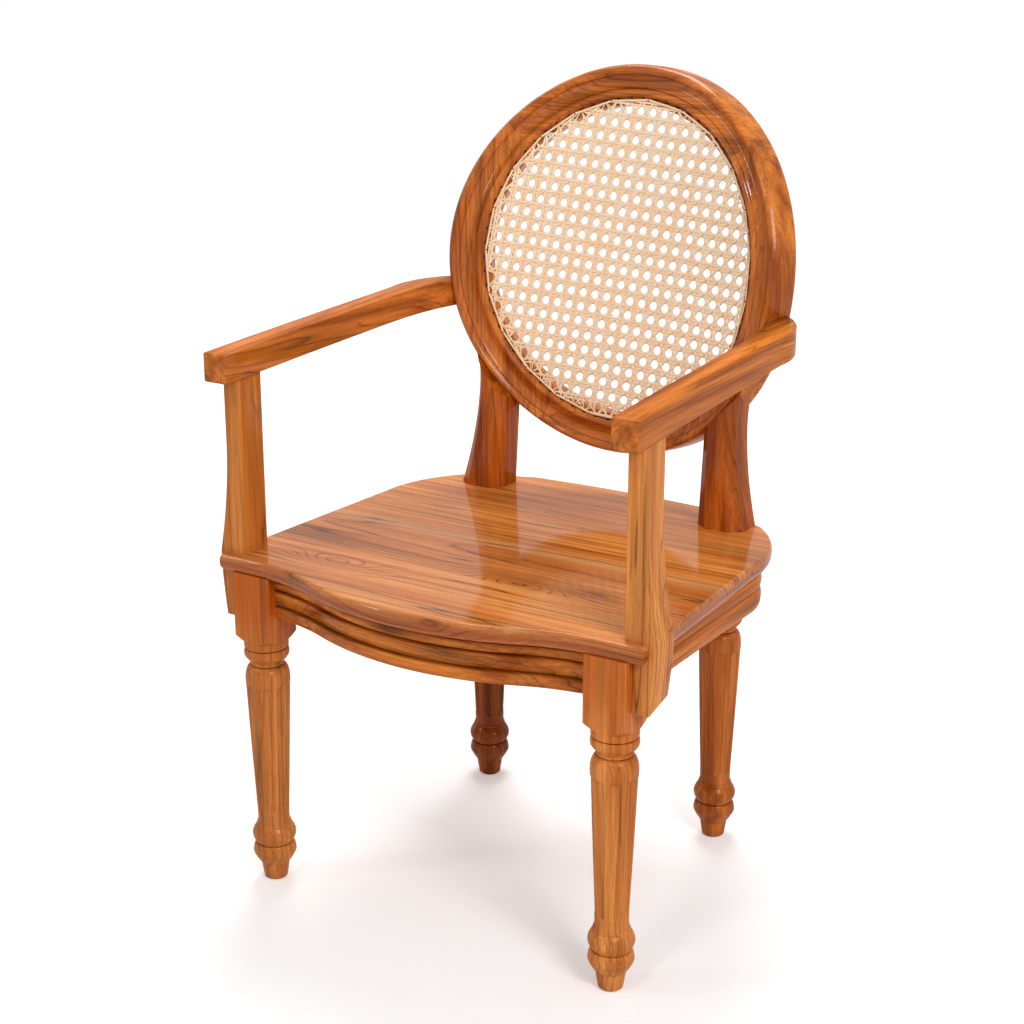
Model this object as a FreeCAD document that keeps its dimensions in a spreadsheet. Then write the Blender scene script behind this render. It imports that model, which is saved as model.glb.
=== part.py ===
import FreeCAD, Part
import math
import os
import re
import types

import Sketcher
from FreeCAD import Placement, Rotation, Vector

# Armchair in teak with a round cane back, in millimetres.
# +Z is up, the sitter faces -Y, and the origin is on the floor under the middle of the chair's box.

doc = FreeCAD.newDocument("CaneArmchair")
sheet = doc.addObject("Spreadsheet::Sheet", "Sizes")

driving = {
    # Legs: places of their axes, the block, then the turning from the floor up and from the block down
    "front_leg_x": 254.0,
    "front_leg_y": -230.4,
    "rear_leg_x": 184.0,
    "leg_depth": 414.7,
    "block_width": 56.0,
    "block_height": 92.0,
    "block_chamfer": 20.0,
    "pommel_slope": 0.8,
    "foot_diameter": 28.6,
    "ankle_diameter": 36.8,
    "ankle_height": 24.0,
    "low_ring_diameter": 56.3,
    "low_ring_rise": 16.6,
    "ring_groove_diameter": 50.0,
    "ring_groove_rise": 12.4,
    "high_ring_diameter": 57.3,
    "high_ring_rise": 12.0,
    "taper_diameter": 40.7,
    "taper_rise": 24.4,
    "shoulder_diameter": 57.3,
    "shoulder_drop": 53.0,
    "shoulder_round_out": 0.4,
    "shoulder_round_up": 0.62,
    "neck_diameter": 42.8,
    "neck_drop": 34.0,
    "neck_straight": 0.3,
    "collar_diameter": 57.0,
    "collar_drop": 17.0,
    "collar_edge": 7.0,
    "cap_groove_diameter": 52.0,
    "cap_groove_drop": 10.0,
    "cap_groove_slope": 0.4,
    "cap_diameter": 57.0,
    # Seat board: its outline from the leg axes, a bowed front, planks and edge
    "seat_top": 450.0,
    "seat_thickness": 20.0,
    "seat_edge_round": 7.0,
    "seat_front": 27.0,
    "seat_overhang": 48.0,
    "seat_side_taper": 17.5,
    "seat_side_stop": 96.7,
    "seat_turn_out": 44.0,
    "seat_turn_past": 22.0,
    "seat_corner_sag": 13.0,
    "seat_back_in": 44.0,
    "seat_back_past": 57.0,
    "seat_back_crown": 6.5,
    "bow_depth": 50.0,
    "bow_inset": 4.0,
    "bow_crown_share": 0.6,
    "front_joint": 70.0,
    "middle_joint": 207.0,
    "rear_joint_past": 2.0,
    # Seat frame: reeded rails under the board, and the glue blocks in its corners
    "apron_height": 61.0,
    "apron_thickness": 22.0,
    "front_overhang": 15.0,
    "side_apron_out": 13.5,
    "apron_corner_radius": 95.0,
    "apron_end_inset": 1.0,
    "apron_run_on": 10.0,
    "reed_depth": 4.0,
    "first_reed": 16.0,
    "second_reed": 19.0,
    "corner_block_reach": 46.0,
    "corner_block_height": 45.0,
    "corner_tail_near": 55.2,
    "corner_tail_far": 92.0,
    # Arm supports: uprights lapped on the outside of the front leg blocks
    "support_front": 14.5,
    "support_depth": 46.5,
    "support_set": 17.5,
    "support_width": 21.5,
    "support_flare": 17.0,
    "support_flare_rise": 140.0,
    "support_flare_bow": 3.6,
    "support_hip": 17.5,
    "support_hip_share": 0.57,
    "support_foot_rise": 28.0,
    "support_foot_width": 22.0,
    "support_foot_bevel": 12.0,
    # Arms: plan from the leg axes, rising towards the back, with a hook inwards to the ring
    "arm_front": 42.0,
    "arm_past_legs": 22.3,
    "arm_out": 45.0,
    "arm_width": 34.0,
    "arm_outer_taper": 8.5,
    "arm_inner_taper": 7.5,
    "arm_turn_before": 79.7,
    "arm_hook_sink": 28.5,
    "hook_outer_in": 0.16,
    "hook_outer_back": 0.66,
    "hook_outer_end": 0.4,
    "hook_inner_in": 0.12,
    "hook_inner_back": 0.42,
    "hook_inner_end": 0.62,
    "arm_thickness": 36.5,
    "arm_over_seat": 262.5,
    "arm_middle_rise": 12.0,
    "arm_end_rise": 22.5,
    # Back posts on the seat over the rear legs
    "post_set": 32.0,
    "post_front": 27.0,
    "post_back": 22.0,
    "post_base_width": 67.0,
    "post_shank_width": 57.0,
    "post_waist_width": 45.0,
    "post_crest_width": 58.0,
    "post_facet": 0.5,
    "post_chamfer": 14.0,
    "post_shank_rise": 42.0,
    "post_waist_rise": 135.0,
    "post_crest_drop": 80.7,
    "post_lean": 0.085,
    # Back ring: an oval sawn from a barrel-curved thickness, leaning back
    "back_past_legs": 60.7,
    "back_over_arm": 58.2,
    "back_lean": 6.6,
    "barrel_radius": 483.4,
    "barrel_reach": 0.7,
    "ring_outer_half": 243.5,
    "ring_outer_rise": 258.4,
    "ring_front": 8.0,
    "ring_back": 33.0,
    "ring_width": 42.5,
    "ring_bead": 11.0,
    "ring_inner_bead": 11.0,
    "ring_recess": 4.0,
    "ledge_width": 10.0,
    "upper_joint_angle": 42.0,
    "lower_joint_angle": -62.0,
    # Cane: thickness of the woven sheet, pitch and size of its gaps, and the laced rim
    "cane_thickness": 1.6,
    "cane_pitch_across": 21.0,
    "cane_pitch_up": 21.6,
    "cane_gap": 11.0,
    "cane_margin": 1.5,
    "border_width": 3.0,
    "border_thickness": 1.2,
    "border_sides": 23.0,
    # Fastenings
    "glue_gap": 0.2,
    "dowel_diameter": 8.0,
    "dowel_length": 40.0,
    "dowel_step": 10.0,
    "post_dowel_diameter": 14.0,
    "post_dowel_length": 110.0,
    "screw_diameter": 4.0,
    "screw_head": 8.0,
    "screw_inset": 12.0,
    "corner_screw_length": 38.0,
    "seat_screw_bite": 10.0,
    "upper_fixing": 0.3,
    "lower_fixing": 0.7,
}
derived = {
    "block_bottom": "seat_top - seat_thickness - block_height",
    "low_ring_height": "ankle_height + low_ring_rise",
    "ring_groove_height": "low_ring_height + ring_groove_rise",
    "high_ring_height": "ring_groove_height + high_ring_rise",
    "taper_height": "high_ring_height + taper_rise",
    "shoulder_height": "block_bottom - shoulder_drop",
    "neck_height": "block_bottom - neck_drop",
    "collar_height": "block_bottom - collar_drop",
    "cap_groove_height": "block_bottom - cap_groove_drop",
    "seat_front_half": "front_leg_x + seat_overhang",
    "seat_side_half": "seat_front_half - seat_side_taper",
    "seat_side_end": "leg_depth - seat_side_stop",
    "seat_turn_half": "rear_leg_x + seat_turn_out",
    "seat_turn_end": "leg_depth + seat_turn_past",
    "seat_back_half": "rear_leg_x - seat_back_in",
    "seat_back_end": "leg_depth + seat_back_past",
    "bow_half": "front_leg_x - bow_inset",
    "rear_joint": "seat_side_end + rear_joint_past",
    "side_apron_half": "front_leg_x + side_apron_out",
    "support_inner": "front_leg_x + support_set",
    "support_outer": "support_inner + support_width",
    "support_foot": "block_bottom + support_foot_rise",
    "support_foot_outer": "front_leg_x + block_width / 2 + support_foot_width",
    "arm_end": "leg_depth + arm_past_legs",
    "arm_turn": "leg_depth - arm_turn_before",
    "arm_front_outer": "front_leg_x + arm_out",
    "arm_front_inner": "arm_front_outer - arm_width",
    "arm_turn_outer": "arm_front_outer - arm_outer_taper",
    "arm_turn_inner": "arm_front_inner - arm_inner_taper",
    "arm_hook_reach": "ring_outer_half - arm_hook_sink",
    "arm_front_top": "seat_top + arm_over_seat",
    "back_place": "leg_depth + back_past_legs",
    "back_height": "arm_front_top + back_over_arm",
    "post_inner": "rear_leg_x - post_set",
    "post_crest": "back_height - post_crest_drop",
    "seat_screw_length": "corner_block_height + seat_screw_bite",
}
cell_rules = {name: str(value) for name, value in driving.items()}
cell_rules.update({name: "=" + rule for name, rule in derived.items()})
for row, (name, rule) in enumerate(cell_rules.items(), start=1):
    sheet.set(f"A{row}", name)
    sheet.set(f"B{row}", rule)
    sheet.setAlias(f"B{row}", name)
doc.recompute()
size = types.SimpleNamespace(**{name: float(sheet.get(name)) for name in cell_rules})

rear_leg_y = size.front_leg_y + size.leg_depth
half_block = size.block_width / 2
seat_under = size.seat_top - size.seat_thickness
sides = {"left": -1, "right": 1}

blanks = {}
bores = {}
groups = {}


def cells(rule):
    """The expression with every size name, which has two words or more, pointing at its cell."""
    return re.sub(r"[a-z]+(_[a-z]+)+", r"Sizes.\g<0>", rule)


def number(rule):
    """The present value of an expression."""
    return float(sheet.evalExpression(cells(rule)))


def bind(piece, rules):
    """Ties properties of a piece to expressions on the sheet."""
    for name, rule in rules.items():
        piece.setExpression(name, cells(rule))


def pin(sketch, edge, end, point):
    """Fixes one end of a sketch edge at a point given by two expressions."""
    for kind, rule in zip(("DistanceX", "DistanceY"), point):
        index = sketch.addConstraint(Sketcher.Constraint(kind, edge, end, number(rule)))
        sketch.setExpression(f"Constraints[{index}]", cells(rule))


def outline(body, role, name, points, level="0"):
    """Closed sketch through points given as expressions; an arc passes each point marked via."""
    sketch = body.newObject("Sketcher::SketchObject", name)
    plane = next(item for item in body.Origin.OriginFeatures if item.Role == role)
    sketch.AttachmentSupport = [(plane, "")]
    sketch.MapMode = "FlatFace"
    sketch.setExpression("AttachmentOffset.Base.z", cells(level))
    spots = [Vector(number(point[0]), number(point[1]), 0) for point in points]
    corners = [index for index, point in enumerate(points) if len(point) == 2]
    edges = []
    for order, first in enumerate(corners):
        last = corners[(order + 1) % len(corners)]
        bowed = (first + 1) % len(points) != last
        if bowed:
            shape = Part.Arc(spots[first], spots[first + 1], spots[last])
        else:
            shape = Part.LineSegment(spots[first], spots[last])
        edge = sketch.addGeometry(shape, False)
        start_gap = sketch.getPoint(edge, 1).distanceToPoint(spots[first])
        end_gap = sketch.getPoint(edge, 2).distanceToPoint(spots[first])
        edges.append((edge, 1 if start_gap < end_gap else 2, first, bowed))
    for order, (edge, head, first, bowed) in enumerate(edges):
        following, following_head = edges[(order + 1) % len(edges)][:2]
        sketch.addConstraint(Sketcher.Constraint("Coincident", edge, 3 - head, following, following_head))
        pin(sketch, edge, head, points[first][:2])
        if bowed:
            mark = sketch.addGeometry(Part.Point(spots[first + 1]), True)
            pin(sketch, mark, 1, points[first + 1][:2])
            sketch.addConstraint(Sketcher.Constraint("PointOnObject", mark, 1, edge))
    return sketch


def padded(name, role, points, length, level="0"):
    """Body made by padding one closed outline square to its plane."""
    body = doc.addObject("PartDesign::Body", name)
    sketch = outline(body, role, name + "_outline", points, level)
    pad = body.newObject("PartDesign::Pad", name + "_pad")
    pad.Profile = sketch
    pad.Reversed = role == "XZ_Plane"
    bind(pad, {"Length": length})
    return body


def stocked(name, shape):
    """Piece with a worked-out shape."""
    piece = doc.addObject("Part::Feature", name)
    piece.Shape = shape
    return piece


def trimmed(name, base, tool):
    """What is left of one piece after another is taken away from it."""
    cut = doc.addObject("Part::Cut", name)
    cut.Base = base
    cut.Tool = tool
    return cut


def rod(name, spot, toward, radius, length):
    """Cylinder from a spot in a direction, its radius and length tied to the sheet."""
    piece = doc.addObject("Part::Cylinder", name)
    bind(piece, {"Radius": radius, "Height": length})
    piece.Placement = Placement(spot, Rotation(Vector(0, 0, 1), toward))
    return piece


def dowel(group, centre, toward, holders, kind="dowel", length=None):
    """Glued dowel through the middle of a joint, and the bores it leaves in its holders."""
    length = length or f"{kind}_length"
    toward = Vector(toward).normalize()
    spot = centre - toward * number(length) / 2
    groups.setdefault(group, []).append(rod(group + "_rod", spot, toward, f"{kind}_diameter / 2", length))
    bore_start = spot - toward * size.glue_gap
    bore_radius = f"{kind}_diameter / 2 + glue_gap"
    bore = rod(group + "_bore", bore_start, toward, bore_radius, f"{length} + 2 * glue_gap")
    for holder in holders:
        bores.setdefault(holder, []).append(bore)


def screw(group, spot, toward, length, holders):
    """Countersunk wood screw from the face at the spot, and the bore it leaves in its holders."""
    toward = Vector(toward).normalize()
    turned = Rotation(Vector(0, 0, 1), toward)
    for gap, target in (("0", None), ("glue_gap", holders)):
        shank = rod(group + "_shank", spot, toward, f"screw_diameter / 2 + {gap}", f"{length} + {gap}")
        head = doc.addObject("Part::Cone", group + "_head")
        bind(head, {"Radius1": f"screw_head / 2 + {gap}", "Radius2": f"screw_diameter / 2 + {gap}",
                    "Height": "(screw_head - screw_diameter) / 2"})
        head.Placement = Placement(spot, turned)
        whole = doc.addObject("Part::Fuse", group + "_whole")
        whole.Base = shank
        whole.Tool = head
        if target is None:
            groups.setdefault(group, []).append(whole)
        else:
            for holder in target:
                bores.setdefault(holder, []).append(whole)


# Turned legs with a square block at the top, whose lower corners are turned off in a cone
leg_profile = [
    ("0", "0"),
    ("foot_diameter / 2", "0"),
    ("ankle_diameter / 2", "ankle_height"),
    ("low_ring_diameter / 2", "low_ring_height"),
    ("ring_groove_diameter / 2", "ring_groove_height"),
    ("high_ring_diameter / 2", "high_ring_height", "via"),
    ("ring_groove_diameter / 2", "2 * high_ring_height - ring_groove_height"),
    ("taper_diameter / 2", "taper_height"),
    ("shoulder_diameter / 2", "shoulder_height"),
    ("neck_diameter / 2 + shoulder_round_out * (shoulder_diameter - neck_diameter)",
     "shoulder_height + shoulder_round_up * (neck_height - shoulder_height)", "via"),
    ("neck_diameter / 2", "neck_height"),
    ("neck_diameter / 2", "neck_height + neck_straight * (collar_height - collar_edge / 2 - neck_height)"),
    ("collar_diameter / 2", "collar_height - collar_edge / 2"),
    ("collar_diameter / 2", "collar_height + collar_edge / 2"),
    ("cap_groove_diameter / 2", "cap_groove_height"),
    ("cap_diameter / 2", "cap_groove_height + cap_groove_slope * (block_bottom - cap_groove_height)"),
    ("cap_diameter / 2", "block_bottom"),
    ("0", "block_bottom"),
]


def block_outline(chamfer_side):
    """Square of the block; the rear legs lose the outer back corner on the given side."""
    half = "block_width / 2"
    corners = [(f"-{half}", f"-{half}"), (half, f"-{half}"), (half, half), (f"-{half}", half)]
    if chamfer_side > 0:
        corners[2:3] = [(half, f"{half} - block_chamfer"), (f"{half} - block_chamfer", half)]
    if chamfer_side < 0:
        corners[3:4] = [(f"block_chamfer - {half}", half), (f"-{half}", f"{half} - block_chamfer")]
    return corners


def turned_leg(name, chamfer_side):
    """Body of one leg on its own axis: turning, block and the turned-off block corners."""
    body = doc.addObject("PartDesign::Body", name)
    turning = body.newObject("PartDesign::Revolution", name + "_turning")
    turning.Profile = outline(body, "XZ_Plane", name + "_profile", leg_profile)
    turning.ReferenceAxis = (turning.Profile[0], ["V_Axis"])
    turning.Angle = 360
    block = body.newObject("PartDesign::Pad", name + "_block")
    block.Profile = outline(body, "XY_Plane", name + "_square", block_outline(chamfer_side), "block_bottom")
    bind(block, {"Length": "seat_top - seat_thickness - block_bottom"})
    pommel = body.newObject("PartDesign::Groove", name + "_pommel")
    pommel.Profile = outline(body, "XZ_Plane", name + "_cone", [
        ("cap_diameter / 2", "block_bottom"),
        ("block_width", "block_bottom"),
        ("block_width", "block_bottom + pommel_slope * (block_width - cap_diameter / 2)"),
    ])
    pommel.ReferenceAxis = (pommel.Profile[0], ["V_Axis"])
    pommel.Angle = 360
    return body


for side, sign in sides.items():
    front_leg = turned_leg(f"front_leg_{side}_blank", 0)
    bind(front_leg, {"Placement.Base.x": f"{sign} * front_leg_x", "Placement.Base.y": "front_leg_y"})
    blanks[f"front_leg_{side}"] = front_leg
    rear_leg = turned_leg(f"rear_leg_{side}_blank", sign)
    bind(rear_leg, {"Placement.Base.x": f"{sign} * rear_leg_x",
                    "Placement.Base.y": "front_leg_y + leg_depth"})
    blanks[f"rear_leg_{side}"] = rear_leg


# Seat board with a bowed front, cut into edge-glued planks
def bowed_front(inset):
    """Edges of the bowed front, left to right: two hollow arcs tangent to a crown, moved in by inset."""
    half_turn = math.atan(size.bow_depth / size.bow_half)
    turn = 2 * half_turn
    arc_sum = size.bow_half / math.sin(turn)
    crown = size.bow_crown_share * arc_sum
    hollow = arc_sum - crown
    flat_y = size.front_leg_y - size.seat_front
    crown_y = flat_y - size.bow_depth + crown

    def on_crown(angle):
        return Vector((crown - inset) * math.sin(angle), crown_y - (crown - inset) * math.cos(angle), 0)

    def on_hollow(angle, sign):
        across = size.bow_half - (hollow + inset) * math.sin(angle)
        return Vector(sign * across, flat_y - hollow + (hollow + inset) * math.cos(angle), 0)

    return [
        Part.Arc(on_hollow(0, -1), on_hollow(half_turn, -1), on_hollow(turn, -1)).toShape(),
        Part.Arc(on_crown(-turn), on_crown(0), on_crown(turn)).toShape(),
        Part.Arc(on_hollow(turn, 1), on_hollow(half_turn, 1), on_hollow(0, 1)).toShape(),
    ]


def seat_spot(across, back):
    """Point of the seat's plan, measured across from the middle and back from the front leg axes."""
    return Vector(across, size.front_leg_y + back, 0)


def seat_corner(sign):
    """Arc round a rear corner of the seat, bulging out of its chord by the corner's sag."""
    start = seat_spot(sign * size.seat_side_half, size.seat_side_end)
    end = seat_spot(sign * size.seat_turn_half, size.seat_turn_end)
    along = (end - start).normalize()
    outward = Vector(along.y, -along.x, 0) * sign
    return Part.Arc(start, (start + end) / 2 + outward * size.seat_corner_sag, end)


def seat_board():
    """Whole seat with both edges rounded, before it is divided into planks."""
    front = bowed_front(0)
    right_front = seat_spot(size.seat_front_half, -size.seat_front)
    left_front = seat_spot(-size.seat_front_half, -size.seat_front)
    right = seat_corner(1)
    left = seat_corner(-1)
    right_back = seat_spot(size.seat_back_half, size.seat_back_end)
    left_back = seat_spot(-size.seat_back_half, size.seat_back_end)
    crown = seat_spot(0, size.seat_back_end + size.seat_back_crown)
    edges = front + [
        Part.LineSegment(front[-1].lastVertex().Point, right_front).toShape(),
        Part.LineSegment(right_front, right.StartPoint).toShape(),
        right.toShape(),
        Part.LineSegment(right.EndPoint, right_back).toShape(),
        Part.Arc(right_back, crown, left_back).toShape(),
        Part.LineSegment(left_back, left.EndPoint).toShape(),
        left.toShape(),
        Part.LineSegment(left.StartPoint, left_front).toShape(),
        Part.LineSegment(left_front, front[0].firstVertex().Point).toShape(),
    ]
    face = Part.Face(Part.Wire(Part.__sortEdges__(edges)))
    board = face.extrude(Vector(0, 0, size.seat_thickness))
    board.translate(Vector(0, 0, seat_under))
    rims = [edge for edge in board.Edges if edge.BoundBox.ZLength < size.seat_thickness / 2]
    return board.makeFillet(size.seat_edge_round, rims)


def slab(low, high):
    """Box between two corners."""
    span = high - low
    return Part.makeBox(span.x, span.y, span.z, low)


board = seat_board()
reach = 2 * size.seat_front_half
notch_inner = size.front_leg_x + half_block
for sign in sides.values():
    inner = sign * notch_inner
    outer = sign * reach
    low = Vector(min(inner, outer), size.front_leg_y - size.support_front - size.glue_gap, 0)
    rear = size.front_leg_y - size.support_front + size.support_depth + size.glue_gap
    high = Vector(max(inner, outer), rear, reach)
    board = board.cut(slab(low, high))
plank_names = ["front", "second", "third", "rear"]
plank_edges = [-reach, size.front_joint, size.middle_joint, size.rear_joint, reach]
for name, near, far in zip(plank_names, plank_edges, plank_edges[1:]):
    between = slab(seat_spot(-reach, near), seat_spot(reach, far) + Vector(0, 0, reach))
    blanks[f"seat_plank_{name}"] = stocked(f"seat_plank_{name}_blank", board.common(between))


# Reeded rails of the seat frame
def reeded_section(outer, outward):
    """Upright section of a rail whose outer edge stands at a point: three reeds outside, flat inside."""
    top = seat_under
    levels = [top, top - size.first_reed, top - size.first_reed - size.second_reed, top - size.apron_height]
    root = outer - outward * size.reed_depth
    edges = []
    for upper, lower in zip(levels, levels[1:]):
        start = root + Vector(0, 0, upper)
        middle = outer + Vector(0, 0, (upper + lower) / 2)
        edges.append(Part.Arc(start, middle, root + Vector(0, 0, lower)).toShape())
    inner = outer - outward * size.apron_thickness
    corners = [Vector(root.x, root.y, levels[-1]), Vector(inner.x, inner.y, levels[-1]),
               Vector(inner.x, inner.y, top), Vector(root.x, root.y, top)]
    for start, end in zip(corners, corners[1:]):
        edges.append(Part.LineSegment(start, end).toShape())
    return Part.Wire(edges)


def swept_rail(path, outward):
    """Rail whose section follows a level path, standing on the path's first point."""
    pipe = Part.BRepOffsetAPI.MakePipeShell(Part.Wire(path))
    pipe.setBiNormalMode(Vector(0, 0, 1))
    pipe.add(reeded_section(path[0].firstVertex().Point, outward))
    pipe.build()
    pipe.makeSolid()
    return pipe.shape()


front_rail_end = size.front_leg_x - half_block
front_rail = swept_rail(bowed_front(size.front_overhang), Vector(0, -1, 0))
between_blocks = slab(Vector(-front_rail_end, -reach, 0), Vector(front_rail_end, reach, reach))
blanks["front_apron"] = stocked("front_apron_blank", front_rail.common(between_blocks))

rear_rail_end = size.rear_leg_x - half_block
rear_rail_y = rear_leg_y + half_block
rear_line = Part.LineSegment(Vector(rear_rail_end, rear_rail_y, 0), Vector(-rear_rail_end, rear_rail_y, 0))
blanks["rear_apron"] = stocked("rear_apron_blank", swept_rail([rear_line.toShape()], Vector(0, 1, 0)))

side_rail_start = size.front_leg_y + half_block
corner_across = size.side_apron_half - size.rear_leg_x - half_block
corner_turn = math.acos(1 - corner_across / size.apron_corner_radius)
corner_end_y = rear_leg_y + half_block - size.block_chamfer - size.apron_end_inset
corner_start_y = corner_end_y - size.apron_corner_radius * math.sin(corner_turn)
last_turn = corner_turn + math.radians(size.apron_run_on)


def rail_corner(sign, angle):
    """Point of a side rail's outer face on its way round the rear corner."""
    across = size.side_apron_half - size.apron_corner_radius * (1 - math.cos(angle))
    return Vector(sign * across, corner_start_y + size.apron_corner_radius * math.sin(angle), 0)


for side, sign in sides.items():
    bend_start = rail_corner(sign, 0)
    straight = Part.LineSegment(Vector(sign * size.side_apron_half, side_rail_start, 0), bend_start)
    bend = Part.Arc(bend_start, rail_corner(sign, last_turn / 2), rail_corner(sign, last_turn))
    rail = swept_rail([straight.toShape(), bend.toShape()], Vector(sign, 0, 0))
    inner_face = sign * (size.rear_leg_x + half_block)
    rear_block = slab(Vector(min(inner_face, 0), rear_leg_y - half_block, 0),
                      Vector(max(inner_face, 0), rear_leg_y + half_block, reach))
    blanks[f"side_apron_{side}"] = stocked(f"side_apron_{side}_blank", rail.cut(rear_block))

# Glue blocks in the four corners of the seat frame, against the rails and the leg blocks
for side, sign in sides.items():
    leg_inner = f"{sign} * (front_leg_x - block_width / 2)"
    side_inner = f"{sign} * (side_apron_half - apron_thickness)"
    front_inner = "front_leg_y - seat_front + front_overhang + apron_thickness + glue_gap"
    block_rear = "front_leg_y + block_width / 2"
    block_level = "seat_top - seat_thickness - corner_block_height"
    blanks[f"corner_block_front_{side}"] = padded(f"corner_block_front_{side}_blank", "XY_Plane", [
        (leg_inner, front_inner),
        (leg_inner + f" - {sign} * corner_block_reach", front_inner),
        (side_inner, block_rear + " + corner_block_reach"),
        (side_inner, block_rear),
        (leg_inner, block_rear),
    ], "corner_block_height", block_level)
    leg_inner = f"{sign} * (rear_leg_x - block_width / 2)"
    leg_outer = f"{sign} * (rear_leg_x + block_width / 2)"
    block_front = "front_leg_y + leg_depth - block_width / 2"
    blanks[f"corner_block_rear_{side}"] = padded(f"corner_block_rear_{side}_blank", "XY_Plane", [
        (leg_inner, block_front),
        (side_inner, block_front + " - corner_tail_far"),
        (side_inner, block_front + " - corner_tail_near"),
        (leg_outer, block_front),
    ], "corner_block_height", block_level)

# Back ring in its own upright frame: x across, z up, y back from the face of the cane
ring_place = Placement(Vector(0, size.front_leg_y + size.back_place, size.back_height),
                       Rotation(Vector(1, 0, 0), -size.back_lean))
ring_far = size.barrel_reach * size.barrel_radius
oval_steps = 32


def oval(shrink):
    """Oval plug through the ring, its wall square to the barrel, moved in from the ring's outer edge."""
    half_x = size.ring_outer_half - shrink
    half_z = size.ring_outer_rise - shrink
    steps = [2 * math.pi * step / oval_steps for step in range(oval_steps)]
    wires = []
    for depth in (-ring_far, ring_far / 2):
        spots = []
        for step in steps:
            lean = math.asin(half_x * math.cos(step) / size.barrel_radius)
            across = (size.barrel_radius + depth) * math.tan(lean)
            spots.append(Vector(across, depth, half_z * math.sin(step)))
        curve = Part.BSplineCurve()
        curve.interpolate(Points=spots, PeriodicFlag=True, Parameters=steps + [2 * math.pi])
        wires.append(Part.Wire([curve.toShape()]))
    return Part.makeLoft(wires, True, True)


def barrel(behind):
    """Upright cylinder in front of the back, its wall set behind the face of the cane."""
    radius = size.barrel_radius + behind
    return Part.makeCylinder(radius, 2 * ring_far, Vector(0, -size.barrel_radius, -ring_far))


def sector(first, last):
    """Upright wedge of the ring between two angles."""
    steps = [math.radians(first + (last - first) * step / 3) for step in range(4)]
    rim = [Vector(ring_far * math.cos(angle), -ring_far, ring_far * math.sin(angle)) for angle in steps]
    centre = Vector(0, -ring_far, 0)
    return Part.Face(Part.makePolygon([centre] + rim + [centre])).extrude(Vector(0, 2 * ring_far, 0))


bead_root = size.ring_width - size.ring_inner_bead
ring_whole = oval(0).cut(oval(size.ring_width + size.ledge_width))
ring_whole = ring_whole.common(barrel(size.ring_back)).cut(barrel(-size.ring_front))
hollow_band = oval(size.ring_bead).cut(oval(bead_root))
ring_whole = ring_whole.cut(hollow_band.common(barrel(size.ring_recess - size.ring_front)))
rabbet = barrel(0)
rabbet.translate(Vector(0, size.cane_thickness + size.glue_gap, 0))
ring_whole = ring_whole.cut(oval(size.ring_width).common(rabbet))

upper = size.upper_joint_angle
lower = size.lower_joint_angle
segments = {
    "right": (lower, upper),
    "top": (upper, 180 - upper),
    "left": (180 - upper, 180 - lower),
    "bottom": (180 - lower, 360 + lower),
}
for name, (first, last) in segments.items():
    piece = stocked(f"back_ring_{name}_blank", ring_whole.common(sector(first, last)))
    piece.Placement = ring_place
    blanks[f"back_ring_{name}"] = piece

ring_clear = stocked("ring_clear", oval(-size.glue_gap))
ring_clear.Placement = ring_place

# Cane: one sheet on the barrel's surface with its gaps, and the strand laced round its rim
cane_surface = Part.Cylinder()
cane_surface.Center = Vector(0, -size.barrel_radius, 0)
cane_surface.Radius = size.barrel_radius


def on_barrel(across, up):
    """Point of the barrel's surface as its angle and height, from its place across and up."""
    return FreeCAD.Base.Vector2d(math.acos(across / size.barrel_radius), up)


def barrel_wire(corners):
    """Closed wire of the barrel's surface through corners given across and up."""
    spots = [on_barrel(*corner) for corner in corners]
    edges = []
    for start, end in zip(spots, spots[1:] + spots[:1]):
        edges.append(Part.Geom2d.Line2dSegment(start, end).toShape(cane_surface))
    return Part.Wire(edges)


def rim_corners(shrink):
    """Corners of the laced rim, evenly spaced round the oval."""
    count = int(size.border_sides)
    inset = size.ring_width + shrink
    corners = []
    for step in range(count):
        angle = 2 * math.pi * (step + 0.5) / count
        corners.append(((size.ring_outer_half - inset) * math.cos(angle),
                        (size.ring_outer_rise - inset) * math.sin(angle)))
    return corners


def cane_gaps():
    """Corners of the square gaps that lie whole inside the border strand."""
    inset = size.ring_width + size.cane_margin + size.border_width
    half_x = size.ring_outer_half - inset
    half_z = size.ring_outer_rise - inset
    half_gap = size.cane_gap / 2
    columns = int(half_x / size.cane_pitch_across) + 1
    rows = int(half_z / size.cane_pitch_up) + 1
    gaps = []
    for row in range(-rows, rows):
        for column in range(-columns, columns):
            across = (column + 0.5) * size.cane_pitch_across
            up = (row + 0.5) * size.cane_pitch_up
            far_x = abs(across) + size.cane_pitch_across / 2
            far_z = abs(up) + size.cane_pitch_up / 2
            if (far_x / half_x) ** 2 + (far_z / half_z) ** 2 < 1:
                gaps.append([(across + x * half_gap, up + z * half_gap)
                             for x, z in ((-1, -1), (1, -1), (1, 1), (-1, 1))])
    return gaps


def barrel_sheet(corners, holes, depth):
    """Sheet on the barrel's surface with holes, thickened backwards by depth."""
    face = Part.Face(cane_surface, barrel_wire(corners))
    face.cutHoles([barrel_wire(hole) for hole in holes])
    face.validate()
    return face.extrude(Vector(0, depth, 0))


panel_shape = barrel_sheet(rim_corners(size.cane_margin), cane_gaps(), size.cane_thickness)
panel = stocked("cane_panel_blank", panel_shape)
panel.Placement = ring_place
blanks["cane_panel"] = panel

rim_inner = size.cane_margin + size.border_width
border_shape = barrel_sheet(rim_corners(size.cane_margin), [rim_corners(rim_inner)], -size.border_thickness)
border = stocked("cane_border_blank", border_shape)
border.Placement = ring_place
blanks["cane_border"] = border


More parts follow.
